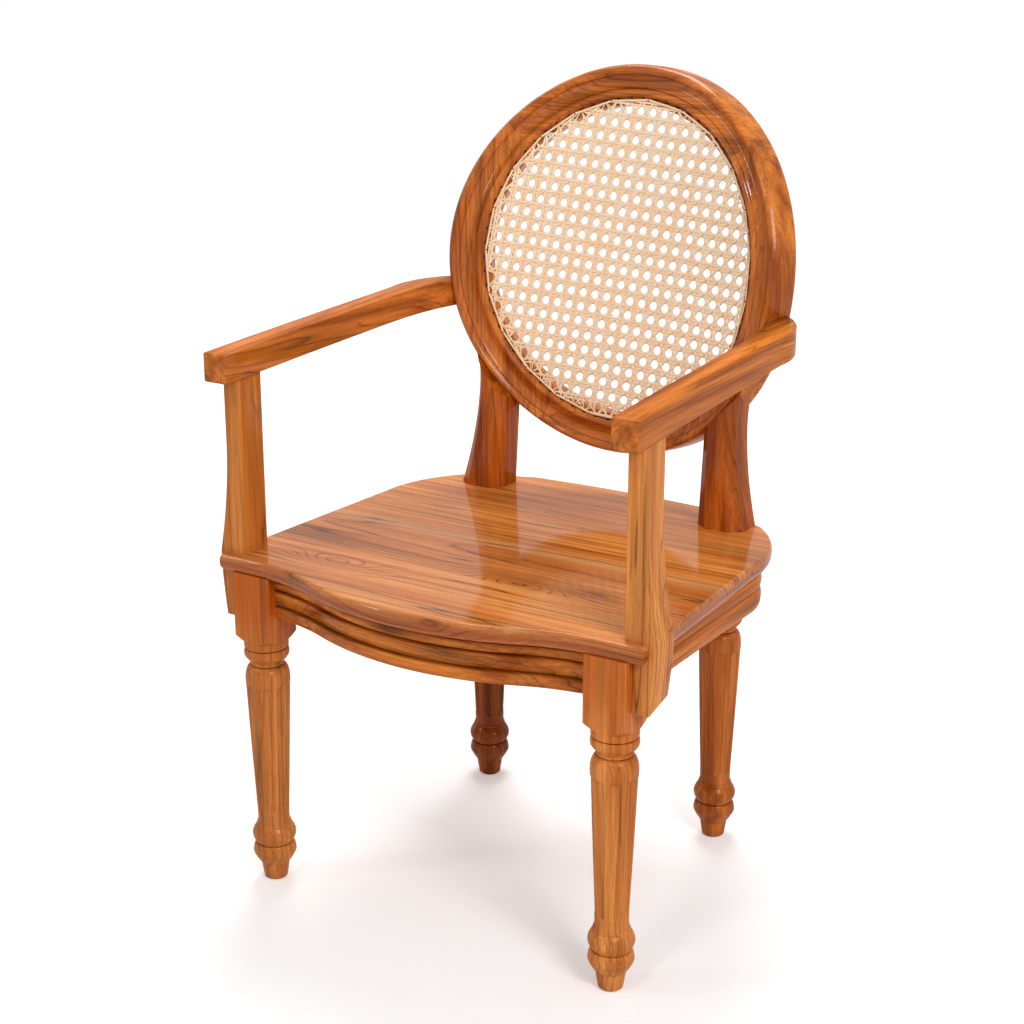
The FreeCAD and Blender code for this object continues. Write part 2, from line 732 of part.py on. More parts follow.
# Arms: the plan outline and the rising side view sawn from one blank, then fitted to the ring
def arm_height(drop):
    """Side view of the arm's top or underside: front, middle and back heights."""
    return [f"arm_front_top - {drop}", f"arm_front_top + arm_middle_rise - {drop}",
            f"arm_front_top + arm_end_rise - {drop}"]


arm_reach = ["-arm_front", "0.5 * (arm_end - arm_front)", "arm_end"]
for side, sign in sides.items():
    plan = padded(f"arm_{side}_plan", "XY_Plane", [
        (f"{sign} * arm_front_inner", "-arm_front"),
        (f"{sign} * arm_front_outer", "-arm_front"),
        (f"{sign} * arm_turn_outer", "arm_turn"),
        (f"{sign} * (arm_turn_outer - hook_outer_in * (arm_turn_outer - arm_hook_reach))",
         "arm_turn + hook_outer_back * (arm_end - arm_turn)", "via"),
        (f"{sign} * (arm_hook_reach + hook_outer_end * (arm_turn_outer - arm_hook_reach))", "arm_end"),
        (f"{sign} * arm_hook_reach", "arm_end"),
        (f"{sign} * arm_hook_reach", "arm_turn + hook_inner_end * (arm_end - arm_turn)"),
        (f"{sign} * (arm_turn_inner - hook_inner_in * (arm_turn_inner - arm_hook_reach))",
         "arm_turn + hook_inner_back * (arm_end - arm_turn)", "via"),
        (f"{sign} * arm_turn_inner", "arm_turn"),
    ], "arm_front_top", "arm_front_top / 2")
    top = arm_height("0")
    under = arm_height("arm_thickness")
    view = padded(f"arm_{side}_view", "YZ_Plane", [
        (arm_reach[0], under[0]),
        (arm_reach[1], under[1], "via"),
        (arm_reach[2], under[2]),
        (arm_reach[2], top[2]),
        (arm_reach[1], top[1], "via"),
        (arm_reach[0], top[0]),
    ], "4 * arm_front_outer", "-2 * arm_front_outer")
    for body in (plan, view):
        bind(body, {"Placement.Base.y": "front_leg_y"})
    sawn = doc.addObject("Part::Common", f"arm_{side}_sawn")
    sawn.Base = plan
    sawn.Tool = view
    blanks[f"arm_{side}"] = trimmed(f"arm_{side}_blank", sawn, ring_clear)

# Arm supports: the inner part stands on the seat, the outer part laps the leg block
for side, sign in sides.items():
    stock = padded(f"arm_support_{side}_stock", "XZ_Plane", [
        (f"{sign} * support_inner", "seat_top"),
        (f"{sign} * (front_leg_x + block_width / 2)", "seat_top"),
        (f"{sign} * (front_leg_x + block_width / 2)", "support_foot"),
        (f"{sign} * support_foot_outer", "support_foot"),
        (f"{sign} * (support_outer + support_hip)",
         "support_foot + support_hip_share * (seat_top - support_foot)", "via"),
        (f"{sign} * (support_outer + support_flare)", "seat_top"),
        (f"{sign} * (support_outer + support_flare / 2 - support_flare_bow)",
         "seat_top + support_flare_rise / 2", "via"),
        (f"{sign} * support_outer", "seat_top + support_flare_rise"),
        (f"{sign} * support_outer", "arm_front_top"),
        (f"{sign} * support_inner", "arm_front_top"),
    ], "support_depth")
    bind(stock, {"Placement.Base.y": "front_leg_y - support_front"})
    doc.recompute()
    pad = stock.Tip
    low_edges = []
    for index, edge in enumerate(pad.Shape.Edges, start=1):
        box = edge.BoundBox
        if box.ZMax < size.support_foot + 1 and box.YLength < 1 and box.YMin > size.support_depth / 2:
            low_edges.append(f"Edge{index}")
    bevel = stock.newObject("PartDesign::Chamfer", f"arm_support_{side}_bevel")
    bevel.Base = (pad, low_edges)
    bind(bevel, {"Size": "support_foot_bevel"})
    lowered_arm = doc.addObject("Part::Compound", f"arm_{side}_bed")
    lowered_arm.Links = [blanks[f"arm_{side}"]]
    bind(lowered_arm, {"Placement.Base.z": "-glue_gap"})
    over_arm = padded(f"arm_support_{side}_top", "XZ_Plane", [
        (f"{sign} * (support_inner - support_depth)", "arm_front_top"),
        (f"{sign} * (arm_front_outer + support_depth)", "arm_front_top"),
        (f"{sign} * (arm_front_outer + support_depth)", "arm_front_top - arm_thickness / 2"),
        (f"{sign} * (support_inner - support_depth)", "arm_front_top - arm_thickness / 2"),
    ], "2 * support_depth")
    bind(over_arm, {"Placement.Base.y": "front_leg_y - support_front - support_depth / 2"})
    lower = trimmed(f"arm_support_{side}_lower", stock, over_arm)
    blanks[f"arm_support_{side}"] = trimmed(f"arm_support_{side}_blank", lower, lowered_arm)


# Back posts: lofted between chamfered sections, their tops fitted to the ring
def post_section(sign, width, level):
    """Section of a leaning post: flat back, straight sides and two chamfers beside the front facet."""
    inner = "post_inner"
    lean = f"post_lean * ({level} - seat_top)"
    outer = f"(post_inner + {width})"
    facet_inner = f"(post_inner + {width} * (1 - post_facet) / 2)"
    facet_outer = f"(post_inner + {width} * (1 + post_facet) / 2)"
    return [
        (f"{sign} * {inner}", f"{lean} + post_back"),
        (f"{sign} * {inner}", f"{lean} + post_chamfer - post_front"),
        (f"{sign} * {facet_inner}", f"{lean} - post_front"),
        (f"{sign} * {facet_outer}", f"{lean} - post_front"),
        (f"{sign} * {outer}", f"{lean} + post_chamfer - post_front"),
        (f"{sign} * {outer}", f"{lean} + post_back"),
    ]


post_levels = [
    ("post_base_width", "seat_top"),
    ("post_shank_width", "seat_top + post_shank_rise"),
    ("post_waist_width", "seat_top + post_waist_rise"),
    ("post_crest_width", "post_crest"),
]
for side, sign in sides.items():
    post = doc.addObject("PartDesign::Body", f"back_post_{side}_stock")
    sections = []
    for width, level in post_levels:
        corners = post_section(sign, width, level)
        sections.append(outline(post, "XY_Plane", f"back_post_{side}_section", corners, level))
    loft = post.newObject("PartDesign::AdditiveLoft", f"back_post_{side}_loft")
    loft.Profile = sections[0]
    loft.Sections = sections[1:]
    bind(post, {"Placement.Base.y": "front_leg_y + leg_depth"})
    blanks[f"back_post_{side}"] = trimmed(f"back_post_{side}_blank", post, ring_clear)


# Dowels and screws, each boring the pieces it joins
def rail_end(sign):
    """Middle of a side rail's end on the rear leg block, and the way the rail runs there."""
    outer = Vector(sign * (size.rear_leg_x + half_block), corner_end_y, 0)
    along = Vector(-sign * math.sin(corner_turn), math.cos(corner_turn), 0)
    inward = Vector(-sign * math.cos(corner_turn), -math.sin(corner_turn), 0)
    return outer + inward * size.apron_thickness / 2 - along * size.dowel_diameter / 2, along


def corner_screws(holders, corner, first, last):
    """Two screws square to a corner block's free face, from that face into the leg at a corner."""
    along = (last - first).normalize()
    foot = first + along * (corner - first).dot(along)
    for share in (size.upper_fixing, size.lower_fixing):
        level = Vector(0, 0, seat_under - share * size.corner_block_height)
        screw("corner_screws", foot + level, corner - foot, "corner_screw_length", holders)


def ring_depth(across, behind):
    """Depth of the barrel at a place across the ring, set behind the face of the cane."""
    return math.sqrt((size.barrel_radius + behind) ** 2 - across ** 2) - size.barrel_radius


def ring_dowel(group, across, up, toward, holders):
    """Dowel centred on a point of the ring, half way through its thickness."""
    spot = Vector(across, ring_depth(across, (size.ring_back - size.ring_recess) / 2), up)
    dowel(group, ring_place.multVec(spot), ring_place.Rotation.multVec(toward), holders)


def oval_reach(angle, shrink):
    """Distance from the ring's middle to its edge, moved in, along an angle."""
    half_x = size.ring_outer_half - shrink
    half_z = size.ring_outer_rise - shrink
    return 1 / math.hypot(math.cos(angle) / half_x, math.sin(angle) / half_z)


rail_levels = [seat_under - share * size.apron_height for share in (size.upper_fixing, size.lower_fixing)]
front_rail_y = size.front_leg_y - size.seat_front + size.front_overhang + size.apron_thickness / 2
rear_rail_middle = rear_rail_y - size.apron_thickness / 2
side_rail_x = size.side_apron_half - size.apron_thickness / 2
side_rail_inner = size.side_apron_half - size.apron_thickness
lap_x = size.front_leg_x + half_block - size.dowel_diameter
lap_y = size.front_leg_y - size.support_front + size.dowel_diameter
arm_dowel_x = (size.support_inner + size.support_outer) / 2
arm_dowel_y = size.front_leg_y - size.support_front + size.support_depth / 2
arm_bed = size.arm_front_top - size.arm_thickness + size.arm_middle_rise / 4
post_dowel_x = size.rear_leg_x - size.post_dowel_diameter / 2
post_middle = size.post_inner + size.post_waist_width / 2
post_drop = size.ring_outer_rise * math.sqrt(1 - (post_middle / size.ring_outer_half) ** 2)
arm_drop = size.back_height - arm_bed - (size.arm_thickness + size.arm_end_rise) / 2
arm_meet = size.ring_outer_half * math.sqrt(1 - (arm_drop / size.ring_outer_rise) ** 2)
for side, sign in sides.items():
    front_leg = f"front_leg_{side}"
    rear_leg = f"rear_leg_{side}"
    side_rail = f"side_apron_{side}"
    across = Vector(sign, 0, 0)
    end_spot, end_way = rail_end(sign)
    for level in rail_levels:
        up = Vector(0, 0, level)
        raised = Vector(0, 0, level + size.dowel_step)
        front_spot = Vector(sign * front_rail_end, front_rail_y, 0)
        dowel("apron_dowels", front_spot + up, across, [front_leg, "front_apron"])
        rear_spot = Vector(sign * rear_rail_end, rear_rail_middle, 0)
        dowel("apron_dowels", rear_spot + up, across, [rear_leg, "rear_apron"])
        side_spot = Vector(sign * side_rail_x, side_rail_start, 0)
        dowel("apron_dowels", side_spot + raised, Vector(0, 1, 0), [front_leg, side_rail])
        dowel("apron_dowels", end_spot + up, end_way, [rear_leg, side_rail])
        lap_spot = Vector(sign * lap_x, lap_y, level - size.dowel_step)
        dowel("support_dowels", lap_spot, across, [front_leg, f"arm_support_{side}"])
    dowel("arm_dowels", Vector(sign * arm_dowel_x, arm_dowel_y, arm_bed), Vector(0, 0, 1),
          [f"arm_support_{side}", f"arm_{side}"])
    dowel("post_dowels", Vector(sign * post_dowel_x, rear_leg_y, size.seat_top), Vector(0, 0, 1),
          [rear_leg, "seat_plank_rear", f"back_post_{side}"], "post_dowel")
    post_way = Vector(sign * post_middle / size.ring_outer_half ** 2, 0,
                      -post_drop / size.ring_outer_rise ** 2)
    ring_dowel("post_ring_dowels", sign * post_middle, -post_drop, post_way,
               [f"back_ring_{side}", f"back_post_{side}"])
    ring_dowel("arm_ring_dowels", sign * arm_meet, -arm_drop, across, [f"back_ring_{side}", f"arm_{side}"])
    front_block = f"corner_block_front_{side}"
    leg_corner = Vector(sign * (size.front_leg_x - half_block), size.front_leg_y + half_block, 0)
    free_start = Vector(leg_corner.x - sign * size.corner_block_reach,
                        front_rail_y + size.apron_thickness / 2 + size.glue_gap, 0)
    free_end = Vector(sign * side_rail_inner, leg_corner.y + size.corner_block_reach, 0)
    corner_screws([front_block, front_leg], leg_corner, free_start, free_end)
    bed = Vector(0, 0, seat_under - size.corner_block_height)
    seat_spot_front = Vector(free_end.x - sign * size.screw_inset, leg_corner.y + size.screw_inset, 0)
    screw("seat_screws", seat_spot_front + bed, Vector(0, 0, 1), "seat_screw_length",
          [front_block, "seat_plank_front"])
    rear_block = f"corner_block_rear_{side}"
    leg_face = Vector(sign * size.rear_leg_x, rear_leg_y - half_block, 0)
    free_start = leg_face - across * half_block
    free_end = Vector(sign * side_rail_inner, leg_face.y - size.corner_tail_far, 0)
    corner_screws([rear_block, rear_leg], leg_face, free_start, free_end)
    seat_spot_rear = Vector(free_end.x - sign * size.screw_inset, leg_face.y - size.corner_tail_near, 0)
    screw("seat_screws", seat_spot_rear + bed, Vector(0, 0, 1), "seat_screw_length",
          [rear_block, "seat_plank_rear"])

ring_names = list(segments)
for order, name in enumerate(ring_names):
    joint_angle = math.radians(segments[name][1])
    neighbours = [f"back_ring_{name}", f"back_ring_{ring_names[(order + 1) % len(ring_names)]}"]
    for shrink in (size.upper_fixing * size.ring_width, size.lower_fixing * size.ring_width):
        reach_out = oval_reach(joint_angle, shrink)
        x = reach_out * math.cos(joint_angle)
        slope = -x / math.sqrt(size.barrel_radius ** 2 - x ** 2)
        way = Vector(-math.sin(joint_angle), -slope * math.sin(joint_angle), math.cos(joint_angle))
        ring_dowel("ring_dowels", x, reach_out * math.sin(joint_angle), way, neighbours)

# Finished pieces: every blank with its bores, and the fastenings in groups of like pieces
nodes = {}
for name, blank in blanks.items():
    nodes[name] = blank
    if name in bores:
        drills = doc.addObject("Part::Compound", name + "_bores")
        drills.Links = bores[name]
        nodes[name] = trimmed(name, blank, drills)
for name, members in groups.items():
    bundle = doc.addObject("Part::Compound", name)
    bundle.Links = members
    nodes[name] = bundle
for name, piece in nodes.items():
    piece.Label = name
doc.recompute()

for item in doc.Objects:
    if "Invalid" in item.State or "Error" in item.State:
        raise RuntimeError(f"{item.Label} is {item.State}")
for name, piece in nodes.items():
    if piece.Shape.isNull() or not piece.Shape.isValid():
        raise RuntimeError(f"{name} has no valid shape")

os.makedirs("parts", exist_ok=True)
for name, piece in nodes.items():
    piece.Shape.exportStep(f"parts/{name}.step")
    print(name, len(piece.Shape.Solids), round(piece.Shape.Volume / 1000, 1))
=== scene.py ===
# Cane armchair in lacquered teak, built for looks around its packed construction frame.
# Metres, +Z up, the sitter faces -Y; every piece rides on the one body of the frame.
import math

import bmesh
import bpy
import numpy as np
from mathutils import Euler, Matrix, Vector


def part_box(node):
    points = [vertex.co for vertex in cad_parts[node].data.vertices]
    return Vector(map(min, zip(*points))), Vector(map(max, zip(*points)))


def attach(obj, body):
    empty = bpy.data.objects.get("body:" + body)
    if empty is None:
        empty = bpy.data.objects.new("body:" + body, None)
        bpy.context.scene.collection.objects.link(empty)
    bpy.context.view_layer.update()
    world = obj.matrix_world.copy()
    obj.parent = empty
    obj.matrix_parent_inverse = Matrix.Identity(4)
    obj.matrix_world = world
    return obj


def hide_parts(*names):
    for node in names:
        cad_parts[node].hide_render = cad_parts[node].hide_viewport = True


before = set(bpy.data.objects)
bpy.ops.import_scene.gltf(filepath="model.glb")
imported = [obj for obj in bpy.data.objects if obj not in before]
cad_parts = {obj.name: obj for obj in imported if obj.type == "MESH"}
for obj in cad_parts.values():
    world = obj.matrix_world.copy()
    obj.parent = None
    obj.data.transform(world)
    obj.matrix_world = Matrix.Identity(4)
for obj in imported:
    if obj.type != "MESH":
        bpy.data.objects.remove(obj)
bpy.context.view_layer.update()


# Legs: solid teak, turned on the lathe below a square block and fluted by hand on the taper.
# The seat rails are dowelled into the blocks, and the seat lies on top of them.
def walls(count, around, offset=0):
    """Four-sided faces between neighbouring rows: two points of a row and the two that follow them."""
    row = offset + np.arange(count - 1)[:, None] * around
    here = row + np.arange(around)
    there = row + (np.arange(around) + 1) % around
    return np.stack([here, there, there + around, here + around], axis=-1).reshape(-1, 4).tolist()


def skin(name, rows, ends=True):
    """Closed mesh object through rows of points, each row one turn round the piece's section.

    Neighbouring rows are joined by four-sided faces, and a fan to its middle closes the first and last row,
    unless these rows fold flat and close by themselves.
    """
    count, around = rows.shape[:2]
    faces = walls(count, around)
    points = rows.reshape(-1, 3)
    if ends:
        here = np.arange(around)
        there = (here + 1) % around
        last_row = (count - 1) * around
        hub = np.full(around, count * around)
        points = np.concatenate([points, rows[[0, -1]].mean(axis=1)])
        faces += np.stack([there, here, hub], axis=-1).tolist()
        faces += np.stack([last_row + here, last_row + there, hub + 1], axis=-1).tolist()
    return solid(name, points, faces)


def solid(name, points, faces, edge=None):
    """Mesh object from points and faces: welded, turned outward and smooth except at its crisp edges.

    Where each point is given a number, how near it is to a strand's edge for its painted shade, the mesh
    keeps it as an attribute.
    """
    weld = 1e-6
    crisp = math.radians(38)
    mesh = bpy.data.meshes.new(name)
    mesh.from_pydata(points.tolist(), [], faces)
    if edge is not None:
        mesh.attributes.new("edge", "FLOAT", "POINT").data.foreach_set("value", edge)
    work = bmesh.new()
    work.from_mesh(mesh)
    bmesh.ops.remove_doubles(work, verts=work.verts, dist=weld)
    bmesh.ops.recalc_face_normals(work, faces=work.faces)
    work.to_mesh(mesh)
    work.free()
    mesh.polygons.foreach_set("use_smooth", np.ones(len(mesh.polygons), bool))
    mesh.set_sharp_from_angle(angle=crisp)
    piece = bpy.data.objects.new(name, mesh)
    bpy.context.scene.collection.objects.link(piece)
    return piece


def fitted(piece, material, slot, *nodes):
    """Finishes a piece: its material, the CAD nodes it stands for, and the body it rides on. The slot is not
    used.
    """
    piece.data.materials.append(material)
    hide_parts(*nodes)
    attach(piece, "root")


def shade(tree, kind, settings, inputs):
    """Shader node of a kind with its settings; each input is given a value or linked from a socket."""
    node = tree.nodes.new(kind)
    for key, value in settings.items():
        setattr(node, key, value)
    for key, value in inputs.items():
        if isinstance(value, bpy.types.NodeSocket):
            tree.links.new(value, node.inputs[key])
        else:
            node.inputs[key].default_value = value
    return node


def ramp(tree, factor, stops):
    """Grey ramp of a factor, from pairs of place and brightness."""
    node = shade(tree, "ShaderNodeValToRGB", {}, {"Fac": factor})
    bar = node.color_ramp.elements
    while len(bar) < len(stops):
        bar.new(0.5)
    for element, (place, bright) in zip(bar, stops):
        element.position = place
        element.color = (bright, bright, bright, 1)
    return node.outputs["Color"]


def mixed(tree, blend, factor, first, second):
    """Colour mixed from two others by a factor."""
    node = shade(tree, "ShaderNodeMix", {"data_type": "RGBA", "blend_type": blend},
                 {0: factor, 6: first, 7: second})
    return node.outputs[2]


def new_finish(name):
    """Empty material, with its node tree and its shader."""
    material = bpy.data.materials.new(name)
    material.use_nodes = True
    return material, material.node_tree, material.node_tree.nodes["Principled BSDF"]


def teak(name, along, pith, light, dark, ring_gap=0.0075, figure=0.85, gloss=0.26, marks=()):
    """Lacquered teak with its grain along one axis.

    Growth rings are circles round a pith line, bent by slow noise, and each ends in a thin dark line that
    fades in and out, as strong as the figure given. Streaks, fibres and pores are noise drawn out along the
    grain. Each mark, such as a knot, a strip of sapwood or a band of painted shade, is a bell curve that
    bends the rings and tints the wood. It is given as a place, a spread on each axis, a push on the rings,
    and a tint's amount and colour.
    """
    ring_cone = 0.05
    slow_bend = 0.042
    fine_bend = 0.018
    material, tree, shader = new_finish(name)
    turn = Euler({"X": (0, 0, 0), "Y": (0, 0, -math.pi / 2), "Z": (0, math.pi / 2, 0)}[along])
    place = shade(tree, "ShaderNodeTexCoord", {}, {}).outputs["Object"]
    shift = -(turn.to_matrix() @ Vector(pith))
    grain = shade(tree, "ShaderNodeMapping", {}, {"Vector": place, "Rotation": turn, "Location": shift})
    grain = grain.outputs["Vector"]

    def vector(operation, first, second):
        """Node that does one operation on two vectors."""
        return shade(tree, "ShaderNodeVectorMath", {"operation": operation}, {0: first, 1: second})

    def number(operation, *values):
        """Result of one operation on numbers."""
        return shade(tree, "ShaderNodeMath", {"operation": operation}, dict(enumerate(values))).outputs[0]

    def noise(stretch, detail):
        """Noise of the place in the wood, with each axis stretched by its own number."""
        drawn = vector("MULTIPLY", grain, stretch).outputs["Vector"]
        made = shade(tree, "ShaderNodeTexNoise", {}, {"Vector": drawn, "Scale": 1.0, "Detail": detail})
        return made.outputs["Fac"]

    squeezed = vector("MULTIPLY", grain, (ring_cone, 1, 1)).outputs["Vector"]
    radius = vector("LENGTH", squeezed, (0, 0, 0)).outputs["Value"]
    radius = number("MULTIPLY_ADD", noise((1.7, 13, 13), 2.0), slow_bend, radius)
    radius = number("MULTIPLY_ADD", noise((0.7, 42, 42), 2.0), fine_bend, radius)
    near_marks = 0.0
    tints = []
    for spot, spread, push, amount, tint in marks:
        offset = vector("DIVIDE", vector("SUBTRACT", place, spot).outputs["Vector"], spread).outputs["Vector"]
        bell = number("POWER", math.exp(-1), vector("DOT_PRODUCT", offset, offset).outputs["Value"])
        radius = number("MULTIPLY_ADD", bell, push, radius)
        near_marks = number("MAXIMUM", near_marks, number("MULTIPLY", bell, push / ring_gap))
        tints.append((number("MULTIPLY", bell, amount), tint))
    phase = number("FRACT", number("DIVIDE", radius, ring_gap))
    late = ramp(tree, phase, [(0.0, 0.8), (0.14, 1.0), (0.68, 0.95), (0.88, 0.74), (0.955, 0.17), (1.0, 0.8)])
    fading = ramp(tree, noise((2.2, 26, 26), 2.0), [(0.38, 0.15 * figure), (0.6, figure)])
    fading = number("MAXIMUM", fading, number("MINIMUM", near_marks, figure))
    streaks = ramp(tree, noise((2.0, 60, 60), 5.0), [(0.32, 0.0), (0.64, 1.0)])
    fibres = ramp(tree, noise((9, 420, 420), 3.0), [(0.34, 0.6), (0.6, 1.0)])
    smoke = ramp(tree, noise((1.5, 30, 30), 3.0), [(0.56, 1.0), (0.72, 0.36)])
    pores = ramp(tree, noise((55, 1300, 1300), 1.0), [(0.36, 0.55), (0.5, 1.0)])
    colour = mixed(tree, "MIX", streaks, dark + (1,), light + (1,))
    for factor, tint in tints:
        colour = mixed(tree, "MIX", factor, colour, tint + (1,))
    colour = mixed(tree, "MULTIPLY", fading, colour, late)
    colour = mixed(tree, "MULTIPLY", 0.6, colour, fibres)
    colour = mixed(tree, "MULTIPLY", 0.7, colour, smoke)
    colour = mixed(tree, "MULTIPLY", 0.3, colour, pores)
    bump = shade(tree, "ShaderNodeBump", {}, {"Strength": 0.12, "Distance": 0.0004, "Height": pores})
    tree.links.new(colour, shader.inputs["Base Color"])
    tree.links.new(bump.outputs["Normal"], shader.inputs["Normal"])
    shader.inputs["Roughness"].default_value = 0.42
    shader.inputs["Specular IOR Level"].default_value = 0.0
    shader.inputs["Coat Weight"].default_value = gloss
    shader.inputs["Coat Roughness"].default_value = 0.09
    return material


def leg_axis(name):
    """Middle of a leg in plan, half way between the sides of its box in the frame."""
    low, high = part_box(name)
    return (low.x + high.x) / 2, (low.y + high.y) / 2


half_block = 0.028
block_bottom = 0.338
block_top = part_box("front_leg_right")[1].z
block_arris = 0.0011
pommel_slope = 0.8
pommel_rise = 0.0105
rear_corner_chamfer = 0.020
shoulder_low = 0.285
shoulder_rise = 0.0186
shoulder_neck = 0.0214
shoulder_reach = 0.0072
flute_count = 8
flute_phase = math.radians(9)
flute_half_angle = math.radians(16)
flute_depth = 0.0034
flute_low = 0.098
flute_high = 0.279
flute_end = 0.005


def swell(low, high, start, end, bulge=0.0, steps=9):
    """Stretch of the turning from one height and radius to another, swelling by a half sine."""
    share = np.linspace(0, 1, steps)
    radius = start + (end - start) * share + bulge * np.sin(np.pi * share)
    return np.stack([low + (high - low) * share, radius], axis=-1)


shoulder_turn = np.linspace(0.06, math.pi / 2, 13)
shoulder = np.stack([shoulder_low + shoulder_rise * np.sin(shoulder_turn),
                     shoulder_neck + shoulder_reach * np.cos(shoulder_turn)], axis=-1)
turning = np.concatenate([
    swell(0.0, 0.004, 0.0125, 0.0155, 0.0009),
    swell(0.0042, 0.0238, 0.0156, 0.0186, 0.0, 3),
    swell(0.024, 0.0375, 0.0192, 0.0274, 0.0006),
    swell(0.0376, 0.0436, 0.0275, 0.0276, 0.0006, 7),
    swell(0.0438, 0.0522, 0.0276, 0.0248, 0.0007, 7),
    swell(0.0525, 0.0535, 0.0214, 0.0214, 0.0, 2),
    swell(0.0538, 0.0785, 0.0244, 0.0226, 0.0049, 21),
    swell(0.0788, 0.0822, 0.0221, 0.0219, 0.0005, 5),
    swell(0.0825, 0.0894, 0.0210, 0.02035, 0.0, 3),
    swell(0.091, shoulder_low, 0.0204, 0.0286, 0.0002, 66),
    shoulder,
    swell(0.3037, 0.3051, 0.0178, 0.0178, 0.0, 2),
    swell(0.3052, 0.3085, 0.0213, 0.0215, 0.0, 3),
    swell(0.3087, 0.3172, 0.0216, 0.0282, 0.0003, 7),
    swell(0.3174, 0.3268, 0.0283, 0.0278, 0.0008, 9),
    swell(0.3271, 0.3283, 0.0238, 0.0238, 0.0, 2),
    swell(0.3285, 0.3305, 0.0276, 0.0284, 0.0, 3),
    swell(0.331, block_bottom, 0.0284, 0.0284, 0.0, 3),
])
block_rise = np.concatenate([np.linspace(0.0004, pommel_rise, 24),
                             np.linspace(0.012, block_top - block_bottom, 4)])
leg_angle = np.linspace(0, 2 * np.pi, 240, endpoint=False)


def leg_rows(corner_angle):
    """Rows of a leg round its own axis: the turned radius less the flutes, then the square block.

    A flute is half an ellipse across, with round ends. The block's radius is the nearest of its four faces,
    the cone that turns its lower corners off and, at the given angle, the face that cuts one corner.
    """
    height = turning[:, 0][:, None]
    from_flute = (leg_angle - flute_phase) % (2 * np.pi / flute_count) - np.pi / flute_count
    past_end = np.maximum(flute_low + flute_end - height, height - flute_high + flute_end)
    across = (from_flute / flute_half_angle) ** 2
    ends = (np.maximum(past_end, 0) / flute_end) ** 2
    turned = turning[:, 1][:, None] - flute_depth * np.sqrt(np.clip(1 - across - ends, 0, 1))
    face = half_block / np.maximum(abs(np.cos(leg_angle)), abs(np.sin(leg_angle)))
    face = np.minimum(face, half_block * math.sqrt(2) - block_arris)
    if corner_angle is not None:
        cut = (2 * half_block - rear_corner_chamfer) / math.sqrt(2)
        facing = np.maximum(np.cos(leg_angle - corner_angle), 0.5)
        face = np.minimum(face, cut / facing)
    cone = turning[-1, 1] + block_rise[:, None] / pommel_slope
    square = np.minimum(face, cone)
    radius = np.concatenate([turned, square])
    level = np.concatenate([height, block_bottom + block_rise[:, None]])
    level = np.broadcast_to(level, radius.shape)
    return np.stack([radius * np.cos(leg_angle), radius * np.sin(leg_angle), level], axis=-1)


russet = (0.50, 0.128, 0.017)
umber = (0.34, 0.070, 0.007)
# Painted shade on the leg blocks: a darker tint at their tops, just under the seat, by an amount given for
# each leg.
block_shade_colour = (0.56, 0.110, 0.006)
block_shade_level = 0.41
block_shade_spread = 0.07
# A mark that is spread this wide along an axis stays the same all along it.
everywhere = 9.0
# The rear legs get darker tones than the front legs: painted shade from the seat above them, deepest on the
# left one.
legs = {
    "front_leg_left": (None, (0.76, 0.265, 0.058), russet, 0.95),
    "front_leg_right": (None, (0.86, 0.310, 0.068), russet, 0.7),
    "rear_leg_left": (math.radians(135), (0.44, 0.092, 0.008), (0.15, 0.026, 0.002), 0.3),
    "rear_leg_right": (math.radians(45), (0.66, 0.190, 0.030), umber, 0.6),
}
for order, (name, (corner, light, dark, block_shade)) in enumerate(legs.items()):
    axis_x, axis_y = leg_axis(name)
    leg = skin(name + "_turned", leg_rows(corner) + np.array([axis_x, axis_y, 0]))
    pith = (axis_x + 0.05 + 0.01 * order, axis_y + 0.04, 0.6 * order)
    # Each block is tinted darker towards its top by its own amount, as painted shade under the seat.
    block_shade_reach = (everywhere, everywhere, block_shade_spread)
    painted_block_shade = ((axis_x, axis_y, block_shade_level), block_shade_reach, 0.0, block_shade, block_shade_colour)
    grain = teak(name + "_teak", "Z", pith, light, dark, figure=0.6, marks=[painted_block_shade])
    fitted(leg, grain, "teak", name)


# Seat frame: teak rails moulded with reeds on the outside, dowelled between the leg blocks.
# The front rail follows the bowed seat, and the side rails bend round to the rear legs.
rail_top = block_top
rail_height = 0.061
rail_thickness = 0.022
front_axis_x, front_axis_y = leg_axis("front_leg_right")
rear_axis_x, rear_axis_y = leg_axis("rear_leg_right")
seat_front = 0.027
bow_depth = 0.050
bow_half = 0.250
bow_turn = 2 * math.atan(bow_depth / bow_half)
crown_share = 0.6
crown_radius = crown_share * bow_half / math.sin(bow_turn)
hollow_radius = (1 - crown_share) * bow_half / math.sin(bow_turn)
bow_flat_y = front_axis_y - seat_front
crown_middle_y = bow_flat_y - bow_depth + crown_radius
front_overhang = 0.015
front_bottom = 0.0570
upper_quirk = 0.0190
lower_quirk = 0.0400
groove_shade_spread = 0.0009
amber = (0.80, 0.235, 0.034)
heartwood_and_groove_shade = (0.10, 0.028, 0.007)


def reed(top, bottom, root, crest, steps=9):
    """Half round of a moulding: depth outwards and drop below the rail's top, from top to bottom."""
    turn = np.linspace(0, np.pi, steps)
    drop = top + (bottom - top) * (1 - np.cos(turn)) / 2
    return np.stack([root + (crest - root) * np.sin(turn), drop], axis=-1)


